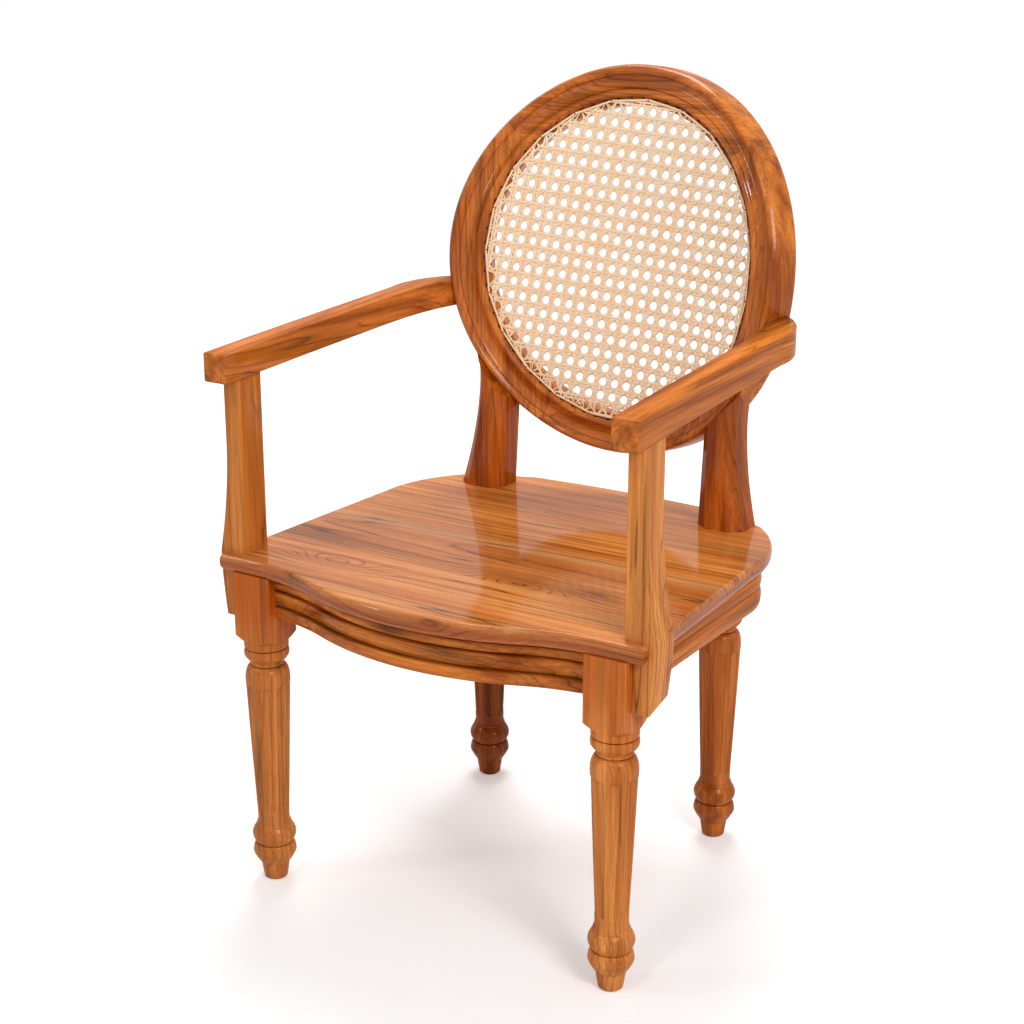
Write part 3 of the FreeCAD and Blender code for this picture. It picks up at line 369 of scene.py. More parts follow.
front_moulding = np.concatenate([
    [[-0.0058, 0.0], [-0.0058, 0.0050]],
    [[-0.0020, 0.0053], [0.0002, 0.0064], [0.0008, 0.0080]],
    [[0.0006, 0.0110], [-0.0006, 0.0150], [-0.0030, 0.0176]],
    [[-0.0072, 0.0180], [-0.0072, 0.0200]],
    [[-0.0022, 0.0203], [-0.0004, 0.0211], [0.0000, 0.0224], [-0.0004, 0.0240]],
    [[-0.0020, 0.0310], [-0.0042, 0.0386], [-0.0056, 0.0398], [-0.0056, 0.0404]],
    [[-0.0016, 0.0406], [0.0002, 0.0414], [0.0006, 0.0428], [0.0004, 0.0470]],
    [[-0.0004, 0.0510], [-0.0018, 0.0548], [-0.0040, front_bottom]],
    [[-rail_thickness, front_bottom], [-rail_thickness, 0.0]],
])
reed_root = -0.0036
quirk_root = -0.0048
side_moulding = np.concatenate([
    [[-0.0040, 0.0]],
    reed(0.0006, 0.0160, reed_root, 0.0),
    [[quirk_root, 0.0164]],
    reed(0.0168, 0.0350, reed_root, 0.0),
    [[quirk_root, 0.0354]],
    reed(0.0358, rail_height, reed_root, 0.0, 13),
    [[-rail_thickness, rail_height], [-rail_thickness, 0.0]],
])


def rail_rows(path, outward, moulding):
    """Rows of a rail: its moulding stood on each point of a level path, pushed along the way outward."""
    across = path[:, None, :] + outward[:, None, :] * moulding[None, :, :1]
    level = np.broadcast_to(rail_top - moulding[:, 1], across.shape[:2])
    return np.concatenate([across, level[:, :, None]], axis=-1)


crown_arc = crown_radius - front_overhang
hollow_arc = hollow_radius + front_overhang
rail_end_turn = math.asin((bow_half - front_axis_x + half_block) / hollow_arc)
crown_turn = np.linspace(0, bow_turn, 25)
hollow_turn = np.linspace(bow_turn, rail_end_turn, 19)[1:]
half_path = np.concatenate([
    np.stack([crown_arc * np.sin(crown_turn), crown_middle_y - crown_arc * np.cos(crown_turn)], axis=-1),
    np.stack([bow_half - hollow_arc * np.sin(hollow_turn),
              bow_flat_y - hollow_radius + hollow_arc * np.cos(hollow_turn)], axis=-1),
])
facing = np.concatenate([crown_turn, hollow_turn])
half_way = np.stack([np.sin(facing), -np.cos(facing)], axis=-1)
mirror = np.array([-1, 1])
front_path = np.concatenate([half_path[:0:-1] * mirror, half_path])
front_way = np.concatenate([half_way[:0:-1] * mirror, half_way])
front_rail = skin("front_rail", rail_rows(front_path, front_way, front_moulding))
rail_marks = [
    ((-0.019, -0.292, 0.420), (0.030, 0.030, 0.006), 0.004, 0.85, heartwood_and_groove_shade),
    ((0.062, -0.292, 0.405), (0.042, 0.030, 0.008), 0.006, 0.75, heartwood_and_groove_shade),
]
# Painted shade in the rail's two grooves: a thin dark brown line along each quirk.
for drop in (upper_quirk, lower_quirk):
    groove_shade_reach = (everywhere, everywhere, groove_shade_spread)
    rail_marks.append(((0.0, 0.0, rail_top - drop), groove_shade_reach, 0.0, 0.8, heartwood_and_groove_shade))
rail_teak = teak("front_rail_teak", "X", (0.3, -0.31, 0.33), amber, umber, 0.0062, 0.8, 0.24, rail_marks)
fitted(front_rail, rail_teak, "teak", "front_apron")

rear_face_y = rear_axis_y + half_block
rear_reach = rear_axis_x - half_block
rear_across = np.linspace(rear_reach, -rear_reach, 9)
rear_path = np.stack([rear_across, np.full_like(rear_across, rear_face_y)], axis=-1)
rear_way = np.tile([0.0, 1.0], (len(rear_across), 1))
rear_rail = skin("rear_rail", rail_rows(rear_path, rear_way, side_moulding))
fitted(rear_rail, teak("rear_rail_teak", "X", (0.9, 0.26, 0.33), amber, umber), "teak", "rear_apron")

side_rail_half = 0.2675
corner_radius = 0.095
corner_ease = 0.001
corner_overrun = math.radians(4)
corner_turn = math.acos(1 - (side_rail_half - rear_axis_x - half_block) / corner_radius)
corner_end_y = rear_face_y - rear_corner_chamfer - corner_ease
corner_start_y = corner_end_y - corner_radius * math.sin(corner_turn)
bend = np.linspace(0, corner_turn + corner_overrun, 28)
side_path = np.stack([side_rail_half - corner_radius * (1 - np.cos(bend)),
                      corner_start_y + corner_radius * np.sin(bend)], axis=-1)
side_start = np.array([[side_rail_half, front_axis_y + half_block]])
side_path = np.concatenate([side_start, side_path])
side_way = np.concatenate([[[1.0, 0.0]], np.stack([np.cos(bend), np.sin(bend)], axis=-1)])
side_signs = {"left": -1, "right": 1}
for side, sign in side_signs.items():
    flip = np.array([sign, 1])
    rail = skin(f"side_rail_{side}", rail_rows(side_path * flip, side_way * flip, side_moulding))
    grain = teak(f"side_rail_{side}_teak", "Y", (sign * 0.33, 0.5 * sign, 0.35), amber, umber)
    fitted(rail, grain, "teak", f"side_apron_{side}")

# Corner blocks, dowels and screws: teak offcuts glued and screwed into the frame's corners, plain turned pegs
# and zinc-coated steel. They are hidden in the finished chair and keep their shapes from the frame.
block_teak = teak("corner_block_teak", "X", (0.0, 0.3, 0.2), amber, umber)
peg_wood = teak("dowel_wood", "X", (0.0, 0.5, 0.1), (0.72, 0.47, 0.25), (0.52, 0.30, 0.14))
steel, steel_tree, steel_shader = new_finish("screw_steel")
steel_place = shade(steel_tree, "ShaderNodeTexCoord", {}, {}).outputs["Object"]
steel_noise = shade(steel_tree, "ShaderNodeTexNoise", {}, {"Vector": steel_place, "Scale": 900.0})
steel_grey = ramp(steel_tree, steel_noise.outputs["Fac"], [(0.3, 0.42), (0.7, 0.58)])
steel_tree.links.new(steel_grey, steel_shader.inputs["Base Color"])
steel_shader.inputs["Metallic"].default_value = 1.0
steel_shader.inputs["Roughness"].default_value = 0.35
for name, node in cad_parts.items():
    if name.startswith("corner_block"):
        finish = block_teak
    elif name.endswith("dowels"):
        finish = peg_wood
    elif name.endswith("screws"):
        finish = steel
    else:
        continue
    node.data.materials.clear()
    node.data.materials.append(finish)

# Seat: four teak planks edge to edge, glued and screwed up through the corner blocks.
# The outer edge is rounded over above and below; the joints stay flush.
seat_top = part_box("seat_plank_front")[1].z
seat_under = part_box("seat_plank_front")[0].z
seat_middle = (seat_top + seat_under) / 2
seat_ring_gap = 0.0088
seat_gloss = 0.55
edge_reach = 0.0048
edge_power = 2.5
joint_reach = 0.0010
joint_drop = 0.00012
front_half = 0.302
side_half = 0.2845
side_end = 0.318
turn_half = 0.228
turn_end = 0.4367
corner_sag = 0.013
back_half = 0.140
back_end = 0.4717
back_crown = 0.0065
front_joint = 0.070
middle_joint = 0.207
rear_joint = 0.320
sapwood = (0.80, 0.42, 0.165)


def front_edge(across):
    """Line of the seat's front: flat ends, two hollows and a crown, as depth against the place across."""
    crown_half = crown_radius * math.sin(bow_turn)
    reach = np.minimum(abs(across), bow_half)
    hollow = bow_flat_y - hollow_radius + np.sqrt(hollow_radius ** 2 - (bow_half - reach) ** 2)
    crown = crown_middle_y - np.sqrt(crown_radius ** 2 - np.minimum(reach, crown_half) ** 2)
    return np.where(reach < crown_half, crown, hollow)


def side_edge(back):
    """Half width of the seat between the front and the rear corners, against depth."""
    share = (back - bow_flat_y) / (seat_front + side_end)
    return front_half + (side_half - front_half) * share


def rear_outline(steps):
    """Right half of the seat's rear edge from the last joint to the middle.

    The corner and the back are parabolas over their chords, with a straight line between them.
    """
    start = np.array([side_half, front_axis_y + side_end])
    end = np.array([turn_half, front_axis_y + turn_end])
    chord = end - start
    outward = np.array([chord[1], -chord[0]]) / np.hypot(*chord)
    share = np.linspace(0, 1, steps)[:, None]
    corner = start + chord * share + outward * corner_sag * 4 * share * (1 - share)
    back = np.array([back_half, front_axis_y + back_end])
    line = end + (back - end) * share[1:]
    reach = back_half * (1 - share[1:])
    crown = back[1] + back_crown * (1 - (reach / back_half) ** 2)
    return np.concatenate([corner, line, np.concatenate([reach, crown], axis=-1)])


def rounded_over(distance):
    """Fall of the face below flat at a distance from the seat's edge: a quarter of a squarish ellipse."""
    share = np.clip(distance / edge_reach, 0, 1)
    return (seat_top - seat_middle) * (1 - (1 - (1 - share) ** edge_power) ** (1 / edge_power))


def crowded(count):
    """Numbers from 0 to 1 that crowd together at both ends."""
    return (1 - np.cos(np.linspace(0, np.pi, count))) / 2


def plank_rows(near, far, edge_near, edge_far, across_reach):
    """Rows of a plank, one section for each place across, from one edge's line to the other's.

    The upper face falls away near the seat's rounded edge and by a hair at a glued joint,
    and the lower face mirrors it.
    """
    share = crowded(61)
    depth = near[:, None] + (far - near)[:, None] * share
    across = across_reach(depth)
    slope_near = np.hypot(1, np.gradient(near, across[:, 0])) if edge_near else 1
    slope_far = np.hypot(1, np.gradient(far, across[:, -1])) if edge_far else 1
    to_near = (depth - near[:, None]) / np.reshape(slope_near, (-1, 1))
    to_far = (far[:, None] - depth) / np.reshape(slope_far, (-1, 1))
    to_edge = np.full_like(depth, 1.0)
    if edge_near:
        to_edge = np.minimum(to_edge, to_near)
    if edge_far:
        to_edge = np.minimum(to_edge, to_far)
    else:
        to_edge = np.minimum(to_edge, side_edge(depth) - abs(across))
    fall = rounded_over(np.maximum(to_edge, 0))
    joint = np.zeros_like(depth)
    if not edge_near:
        joint += np.clip(1 - to_near / joint_reach, 0, 1)
    if not edge_far:
        joint += np.clip(1 - to_far / joint_reach, 0, 1)
    fall = np.minimum(fall + joint_drop * joint, seat_top - seat_middle)
    upper = np.stack([across, depth, seat_top - fall], axis=-1)
    lower = np.stack([across, depth, seat_under + fall], axis=-1)
    return np.concatenate([upper, lower[:, ::-1]], axis=1)


width_share = 2 * crowded(161) - 1


def between_sides(depth):
    """Places across the seat: the same share of its half width at every depth."""
    return width_share[:, None] * side_edge(depth)


flat = np.ones_like(width_share)
joints = [front_axis_y + joint for joint in (front_joint, middle_joint, rear_joint)]
plank_edges = {
    "front": (front_edge(width_share * front_half), flat * joints[0], True),
    "second": (flat * joints[0], flat * joints[1], False),
    "third": (flat * joints[1], flat * joints[2], False),
}
plank_pith = {"front": (0.45, -0.262, 0.405), "second": (0.7, -0.075, 0.405), "third": (-0.4, 0.06, 0.412)}
plank_tone = {"front": (0.84, 0.34, 0.100), "second": (0.66, 0.23, 0.060), "third": (0.98, 0.37, 0.080)}
# Painted shade on the seat's rounded edge: a dark brown band about half way down it, where the edge curves
# under.
edge_shade_brown = (0.42, 0.085, 0.006)
painted_edge_shade = ((0.0, 0.0, seat_middle - 0.002), (everywhere, everywhere, 0.0080), 0.0, 1.0, edge_shade_brown)
plank_marks = {
    "front": [((-0.160, -0.204, 0.450), (0.056, 0.019, 0.05), 0.044, 0.0, heartwood_and_groove_shade),
              ((0.054, -0.306, 0.444), (0.016, 0.008, 0.008), 0.010, 0.8, heartwood_and_groove_shade)],
    "second": [((0.075, -0.143, 0.450), (0.060, 0.024, 0.05), 0.045, 0.22, heartwood_and_groove_shade),
               ((0.171, -0.130, 0.450), (0.026, 0.008, 0.05), 0.006, 0.6, heartwood_and_groove_shade),
               ((-0.05, -0.036, 0.450), (0.60, 0.015, 0.05), 0.0, 0.55, sapwood)],
    "third": [((0.2, 0.087, 0.450), (0.20, 0.003, 0.05), 0.0, 0.5, sapwood)],
}
for name, (near, far, edge_near) in plank_edges.items():
    plank = skin(f"seat_{name}", plank_rows(near, far, edge_near, False, between_sides), False)
    grain = teak(f"seat_{name}_teak", "X", plank_pith[name], plank_tone[name], russet, seat_ring_gap, 1.0,
                 seat_gloss, plank_marks[name] + [painted_edge_shade])
    fitted(plank, grain, "teak", f"seat_plank_{name}")

half_rear = rear_outline(33)
rear_line = np.concatenate([half_rear[:-1] * mirror, half_rear[::-1]])
rear_start = np.full(len(rear_line), joints[2])


def along_rear(depth):
    """Places across the rear plank: those of its curved edge, the same at every depth."""
    return np.broadcast_to(rear_line[:, :1], depth.shape)


rear_plank = skin("seat_rear", plank_rows(rear_start, rear_line[:, 1], False, True, along_rear), False)
rear_marks = [((-0.078, 0.112, 0.450), (0.040, 0.012, 0.05), 0.016, 0.45, sapwood)]
rear_teak = teak("seat_rear_teak", "X", (0.2, 0.16, 0.40), (0.98, 0.36, 0.075), russet, 0.0080, 0.7,
                 seat_gloss, rear_marks + [painted_edge_shade])
fitted(rear_plank, rear_teak, "teak", "seat_plank_rear")

# Arm supports: teak uprights dowelled to the outside of the front leg blocks, standing on the seat.
# The outer face sweeps out to a hip at the seat and is cut away below it.
support_front = 0.0145
support_depth = 0.0465
support_inner = 0.2715
support_outer = 0.293
support_flare = 0.017
support_arris = 0.0016
flare_rise = 0.140
flare_power = 1.8
support_foot = 0.366
foot_outer = 0.304
foot_bevel = 0.012
arm_front = 0.042
arm_end = 0.437
arm_top = 0.7125
arm_thickness = 0.0365
arm_climb = 0.0255
arm_arch = 0.003
honey = (0.90, 0.330, 0.070)


def rounded(left, right, front, back, radius, steps=5):
    """Rounded rectangles as rows of points across and deep, one for each entry of the four sides."""
    angle = np.concatenate([np.linspace(0, np.pi / 2, steps) + np.pi / 2 * corner for corner in range(4)])
    right_side = np.repeat([1, 0, 0, 1], steps)
    back_side = np.repeat([1, 1, 0, 0], steps)
    x = np.where(right_side, right[:, None] - radius, left[:, None] + radius) + radius * np.cos(angle)
    y = np.where(back_side, back[:, None] - radius, front[:, None] + radius) + radius * np.sin(angle)
    return x, y


def arm_rise(back):
    """Height of the arm's top above its front end: a shallow arch rising to the back."""
    share = (back - front_axis_y + arm_front) / (arm_end + arm_front)
    return arm_climb * share - arm_arch * share ** 2


lap_share = np.linspace(0, 1, 15)
upright_share = np.linspace(0, 1, 31)
lap_outer = foot_outer + (support_outer + support_flare - foot_outer) * np.sin(np.pi / 2 * lap_share)
upright_level = seat_top + (arm_top - arm_thickness - seat_top) * upright_share
sweep = np.clip(1 - (upright_level - seat_top) / flare_rise, 0, 1)
upright_outer = support_outer + support_flare * sweep ** flare_power
count = len(lap_share) + len(upright_share)
front_face = np.full(count, front_axis_y - support_front)
back_face = front_face + support_depth
lap_inner = np.full(len(lap_share), front_axis_x + half_block)
inner_face = np.concatenate([lap_inner, np.full(len(upright_share), support_inner)])
outer_face = np.concatenate([lap_outer, upright_outer])
support_x, support_y = rounded(inner_face, outer_face, front_face, back_face, support_arris)
bevel_start = front_axis_y - support_front + support_depth - foot_bevel
foot_level = support_foot + np.maximum(support_y - bevel_start, 0)
lap_foot = foot_level[:len(lap_share)]
lap_level = lap_foot + (seat_top - lap_foot) * lap_share[:, None]
bed_level = arm_top - arm_thickness + arm_rise(support_y[len(lap_share):])
stand_level = seat_top + (bed_level - seat_top) * upright_share[:, None]
support_rows = np.stack([support_x, support_y, np.concatenate([lap_level, stand_level])], axis=-1)
support_tone = {"left": (0.74, 0.255, 0.048), "right": honey}
for side, sign in side_signs.items():
    support = skin(f"arm_support_{side}_flared", support_rows * np.array([sign, 1, 1]))
    pith = (sign * 0.33, -0.20, 0.3 * sign)
    grain = teak(f"arm_support_{side}_teak", "Z", pith, support_tone[side], russet)
    fitted(support, grain, "teak", f"arm_support_{side}")

# Arms: teak, sawn to a plan that hooks inwards at the back and to a gentle rise in side view.
# They lie on the supports with a dowel and butt against the ring.
arm_front_outer = 0.299
arm_front_inner = 0.265
arm_turn = 0.335
arm_turn_outer = 0.2905
arm_turn_inner = 0.2575
hook_reach = 0.236
hook_start = 0.230
hook_inner_end = 0.78
hook_power = 3.6
hook_middle_share = 0.66
hook_middle_outer = 0.2784
hook_end_outer = 0.2452
arm_edge = 0.0018


def arc_through(first, middle, last, steps):
    """Points of the circle's arc through three points of a plan."""
    (ax, ay), (bx, by), (cx, cy) = first, middle, last
    twice = 2 * (ax * (by - cy) + bx * (cy - ay) + cx * (ay - by))
    squares = [ax ** 2 + ay ** 2, bx ** 2 + by ** 2, cx ** 2 + cy ** 2]
    x = (squares[0] * (by - cy) + squares[1] * (cy - ay) + squares[2] * (ay - by)) / twice
    y = (squares[0] * (cx - bx) + squares[1] * (ax - cx) + squares[2] * (bx - ax)) / twice
    start = math.atan2(ay - y, ax - x)
    end = math.atan2(cy - y, cx - x)
    angle = np.linspace(start, end, steps)
    radius = math.hypot(ax - x, ay - y)
    return np.stack([x + radius * np.cos(angle), y + radius * np.sin(angle)], axis=-1)


hook = arm_end - arm_turn
hook_middle = (hook_middle_outer, arm_turn + hook_middle_share * hook)
outer_hook = arc_through((arm_turn_outer, arm_turn), hook_middle, (hook_end_outer, arm_end), 25)
edge_run = arm_edge * np.array([0, 1 / 6, 1 / 2, 1])
run = np.concatenate([edge_run, np.linspace(0.02, arm_front + arm_turn, 32)[:-1]])
run_share = (run / (arm_front + arm_turn))[:, None]
outer_run = np.array([arm_front_outer, -arm_front]) * (1 - run_share) + outer_hook[0] * run_share
outer_line = np.concatenate([outer_run, outer_hook])
inner_back = np.concatenate([run - arm_front, arm_turn + hook_inner_end * hook * np.linspace(0, 1, 25)])
inner_share = (inner_back + arm_front) / (arm_front + arm_turn)
inner_straight = arm_front_inner + (arm_turn_inner - arm_front_inner) * inner_share
hook_share = np.clip((inner_back - hook_start) / (inner_back[-1] - hook_start), 0, 1)
inner_across = inner_straight - (inner_straight[-1] - hook_reach) * hook_share ** hook_power
inner_line = np.stack([inner_across, inner_back], axis=-1)
eased = np.zeros(len(outer_line))
eased[:len(edge_run)] = arm_edge * (1 - np.sqrt(1 - (1 - edge_run / arm_edge) ** 2))
width = np.hypot(*(outer_line - inner_line).T)
arm_across, arm_down = rounded(eased, width - eased, eased - arm_thickness, -eased, arm_edge)
arm_share = arm_across / width[:, None]
arm_plan = inner_line[:, None] * (1 - arm_share[..., None]) + outer_line[:, None] * arm_share[..., None]
arm_plan = arm_plan + np.array([0, front_axis_y])
arm_level = arm_top + arm_rise(arm_plan[..., 1]) + arm_down
arm_rows = np.concatenate([arm_plan, arm_level[..., None]], axis=-1)
for side, sign in side_signs.items():
    arm = skin(f"arm_{side}_shaped", arm_rows * np.array([sign, 1, 1]))
    pith = (sign * 0.30, 0.4 * sign, 0.66)
    fitted(arm, teak(f"arm_{side}_teak", "Y", pith, amber, umber, 0.0066), "teak", f"arm_{side}")

# Back ring: four teak segments butted with dowels, moulded in front with an outer bead, a hollow band
# and an inner bead, and rabbeted inside that bead for the cane. It leans back on a barrel curve.
ring_lean = math.radians(6.6)
ring_set_back = 0.4754
ring_level = 0.7707
ring_base = np.array([0.0, front_axis_y + ring_set_back, ring_level])
ring_back_way = np.array([0.0, math.cos(ring_lean), -math.sin(ring_lean)])
ring_up_way = np.array([0.0, math.sin(ring_lean), math.cos(ring_lean)])
barrel_radius = 0.4834
ring_half = 0.2435
ring_rise = 0.2584
ring_width = 0.0425
ring_gloss = 0.42


def on_back(across, up, behind):
    """Point of the back from its place across and up and its depth behind the cane, round the barrel."""
    lean = np.arcsin(across / barrel_radius)
    round_x = (barrel_radius + behind) * np.sin(lean)
    round_y = (barrel_radius + behind) * np.cos(lean) - barrel_radius
    return (ring_base + round_x[..., None] * np.array([1.0, 0, 0]) + round_y[..., None] * ring_back_way
            + up[..., None] * ring_up_way)


def fillet(first, last, bulge, steps=9):
    """Stretch of the ring's section between two points of inset and depth, bowed aside by a half sine."""
    share = np.linspace(0, 1, steps)[:, None]
    first, last = np.array(first), np.array(last)
    along = last - first
    aside = np.array([along[1], -along[0]]) / np.hypot(*along)
    return first + along * share + aside * bulge * np.sin(np.pi * share)


ring_section = np.concatenate([
    fillet((0.0, 0.0280), (0.0, 0.0012), 0.0, 3),
    fillet((0.0, 0.0012), (0.0122, -0.0028), 0.0056, 17),
    fillet((0.0124, 0.0004), (0.0130, 0.0004), 0.0, 2),
    fillet((0.0132, -0.0004), (0.0304, -0.0030), -0.0036, 15),
    fillet((0.0308, -0.0010), (0.0313, -0.0010), 0.0, 2),
    fillet((0.0316, -0.0020), (0.0425, -0.0006), 0.0046, 15),
    fillet((0.0425, -0.0002), (0.0425, 0.0018), 0.0, 2),
    fillet((0.0430, 0.0020), (0.0520, 0.0020), 0.0, 3),
    fillet((0.0525, 0.0026), (0.0525, 0.0295), 0.0, 3),
    fillet((0.0525, 0.0295), (0.0485, 0.0330), 0.0012, 5),
    fillet((0.0480, 0.0330), (0.0055, 0.0330), 0.0, 5),
    fillet((0.0050, 0.0330), (0.0, 0.0285), 0.0016, 5),
])
segment_angles = {"right": (-62, 42), "top": (42, 138), "left": (138, 242), "bottom": (242, 298)}
segment_grain = {"right": "Z", "top": "X", "left": "Z", "bottom": "X"}
segment_pith = {"right": (0.28, 0.16, 0.1), "top": (0.4, 0.31, 1.05), "left": (-0.29, 0.17, 0.5),
                "bottom": (0.1, 0.27, 0.50)}
for name, (first, last) in segment_angles.items():
    angle = np.radians(np.linspace(first, last, 2 * (last - first) + 1))[:, None]
    across = (ring_half - ring_section[:, 0]) * np.cos(angle)
    up = (ring_rise - ring_section[:, 0]) * np.sin(angle)
    rows = on_back(across, up, np.broadcast_to(ring_section[:, 1], across.shape))
    segment = skin(f"ring_{name}", rows)
    grain = teak(f"ring_{name}_teak", segment_grain[name], segment_pith[name], amber, umber, 0.0070,
                 gloss=ring_gloss)
    fitted(segment, grain, "teak", f"back_ring_{name}")

# Back posts: teak uprights with chamfered fronts, dowelled through the seat into the rear legs.
# They lean back, narrow to a waist and are scribed to the underside of the ring.
post_inner = 0.152
post_front = 0.027
post_back = 0.022
post_chamfer = 0.014
post_facet = 0.5
post_arris = 0.0009
post_height = 0.240
post_waist = 0.045
post_waist_rise = 0.141
post_foot_spread = 0.022
post_foot_power = 1.8
post_head_spread = 0.013
post_head_power = 1.6
post_lean = 0.085
post_sink = 0.008
post_meet = 0.01
post_light = (0.64, 0.145, 0.012)
post_dark = (0.25, 0.042, 0.003)


def softened(corners, radius):
    """Rows of closed outlines with each corner eased by a parabola between points near it on both sides."""
    before = np.roll(corners, 1, axis=1) - corners
    after = np.roll(corners, -1, axis=1) - corners
    before = before / np.linalg.norm(before, axis=-1, keepdims=True)
    after = after / np.linalg.norm(after, axis=-1, keepdims=True)
    eased = []
    for share in np.linspace(0, 1, 5):
        eased.append(corners + radius * ((1 - share) ** 2 * before + share ** 2 * after))
    return np.stack(eased, axis=2).reshape(len(corners), -1, 2)


post_rise = np.linspace(0, post_height, 61)
foot_share = np.clip(1 - post_rise / post_waist_rise, 0, 1)
head_share = np.clip(post_rise - post_waist_rise, 0, 1) / (post_height - post_waist_rise)
post_width = (post_waist + post_foot_spread * foot_share ** post_foot_power
              + post_head_spread * head_share ** post_head_power)
across_share = np.array([0, 0, (1 - post_facet) / 2, (1 + post_facet) / 2, 1, 1])
chamfer_back = post_chamfer - post_front
deep = np.array([post_back, chamfer_back, -post_front, -post_front, chamfer_back, post_back])
post_x = post_inner + post_width[:, None] * across_share
post_y = rear_axis_y + post_lean * post_rise[:, None] + deep
post_plan = softened(np.stack([post_x, post_y], axis=-1), post_arris)
meet_across = post_plan[..., 0] * barrel_radius / (barrel_radius + post_meet)
meet_up = -ring_rise * np.sqrt(1 - np.minimum(abs(meet_across) / ring_half, 1) ** 2)
meet_level = on_back(meet_across, meet_up, np.full(meet_across.shape, post_meet))[..., 2] + post_sink
post_level = np.minimum(seat_top + post_rise[:, None], meet_level)
post_rows = np.concatenate([post_plan, post_level[..., None]], axis=-1)
for side, sign in side_signs.items():
    post = skin(f"back_post_{side}_chamfered", post_rows * np.array([sign, 1, 1]))
    pith = (sign * 0.23, 0.13, 0.7 * sign)
    grain = teak(f"back_post_{side}_teak", "Z", pith, post_light, post_dark)
    fitted(post, grain, "teak", f"back_post_{side}")

# Cane: split rattan woven by hand in pairs up and across with two diagonals, which leaves round holes.
# The strands are drawn down into holes bored along the rabbet and pegged there, under a strand that is
# laced round the rim.
weave_middle = np.array([-0.0031, 0.0069])
weave_across = np.array([0.0179, -0.0012])
weave_up = np.array([0.0024, 0.0190])
weave_easing = np.array([0.0001, 0.0])
pair_gap = 0.116
strand_width = 0.0036
diagonal_width = 0.0031
strand_tip = 0.0012
strand_thickness = 0.0008
strand_level = 0.0004
fan_reach = 0.0115
fan_fade = 0.2
line_reach = 30
line_steps = 4801
line_stride = 10
shortest_line = 40
rim_gap = 0.0022
rim_inset = ring_width + rim_gap
rim_sides = 23
holes_per_side = 3
rim_holes = holes_per_side * rim_sides
rim_half = ring_half - rim_inset
rim_rise = ring_rise - rim_inset
strand_section = np.array([[-0.5, -0.1], [-0.32, 0.55], [0.0, 0.8], [0.32, 0.55], [0.5, -0.1], [0.0, -0.3]])
# Painted shade: the section's two side points are marked 1, so the straw darkens towards each strand's edges.
strand_edge_shade = np.array([1.0, 0.0, 0.0, 0.0, 1.0, 0.0])


def woven(column, row):
    """Place on the sheet, round the barrel and up, of a place in the weave counted in holes across and up.

    The weave stands a little turned in its ring, and its columns lie closer together to the left.
    """
    column, row = column[..., None], row[..., None]
    return weave_middle + column * weave_across + column ** 2 * weave_easing + row * weave_up


def rim_place(turn, inset=0.0):
    """Place at a share of a turn round the rim's ellipse less an inset, measured round the barrel and up."""
    angle = 2 * np.pi * turn
    across = barrel_radius * np.arcsin((rim_half - inset) * np.cos(angle) / barrel_radius)
    return np.stack([across, (rim_rise - inset) * np.sin(angle)], axis=-1)


def on_cane(spot, height):
    """Point of the cane from its place round the barrel and up and its height above the sheet."""
    return on_back(barrel_radius * np.sin(spot[..., 0] / barrel_radius), spot[..., 1], -height)


def ribbon(path, height, width):
    """Rows of one strand: a flat domed section of given width, carried along a path at a height above it."""
    middle = on_cane(path, height)
    normal = on_cane(path, height + strand_thickness) - middle
    normal = normal / np.linalg.norm(normal, axis=-1, keepdims=True)
    along = np.gradient(middle, axis=0)
    aside = np.cross(along, normal)
    aside = aside / np.linalg.norm(aside, axis=-1, keepdims=True)
    return (middle[:, None] + aside[:, None] * strand_section[:, :1] * width[:, None, None]
            + normal[:, None] * strand_section[:, 1:] * strand_thickness)


def strands(name, paths, edge):
    """One mesh of many strands from their rows, with each section point's number for nearness to an edge,
    which sets its painted shade.
    """
    points, faces, offset = [], [], 0
    for rows in paths:
        count, around = rows.shape[:2]
        first_end = offset + np.arange(around)
        faces += walls(count, around, offset)
        faces.append(first_end[::-1].tolist())
        faces.append((first_end + (count - 1) * around).tolist())
        points.append(rows.reshape(-1, 3))
        offset += count * around
    return solid(name, np.concatenate(points), faces, np.tile(edge, offset // len(edge)))


def drawn_down(start, way, wave, axis, width):
    """Rows of a strand along a straight line of the weave, its ends drawn aside into the nearest rim holes.

    The line is cut where it meets the rim, and rises and dips by a wave of the weave's pitch along one axis.
    A line that is too short between its two ends gives none.
    """
    line = np.array(start) + np.linspace(-line_reach, line_reach, line_steps)[:, None] * np.array(way)
    spots = woven(line[:, 0], line[:, 1])
    across = barrel_radius * np.sin(np.clip(spots[:, 0] / barrel_radius, -np.pi / 2, np.pi / 2))
    inside = np.nonzero((across / rim_half) ** 2 + (spots[:, 1] / rim_rise) ** 2 < 1)[0]
    centre = line_steps // 2
    fan = round(fan_reach / np.hypot(*(spots[centre + 1] - spots[centre])))
    if len(inside) < 2 * fan + shortest_line:
        return None
    ends = []
    for index in (inside[0], inside[-1]):
        turn = math.atan2(spots[index, 1] / rim_rise, across[index] / rim_half) / (2 * math.pi)
        ends.append(rim_place(round(turn * rim_holes) / rim_holes))
    kept = np.arange(inside[0] + fan, inside[-1] - fan + 1, line_stride)
    middle = spots[kept]
    halfway = [0.5 * (ends[0] + middle[0]), 0.5 * (ends[1] + middle[-1])]
    path = np.concatenate([[ends[0], halfway[0]], middle, [halfway[1], ends[1]]])
    fade = np.ones(len(path))
    fade[[0, 1, -2, -1]] = [0, fan_fade, fan_fade, 0]
    turn = 2 * np.pi * (np.pad(line[kept, axis], 2, mode="edge") - 0.5)
    height = strand_level + fade * wave * np.cos(turn)
    return ribbon(path, height, strand_tip + (width - strand_tip) * fade)


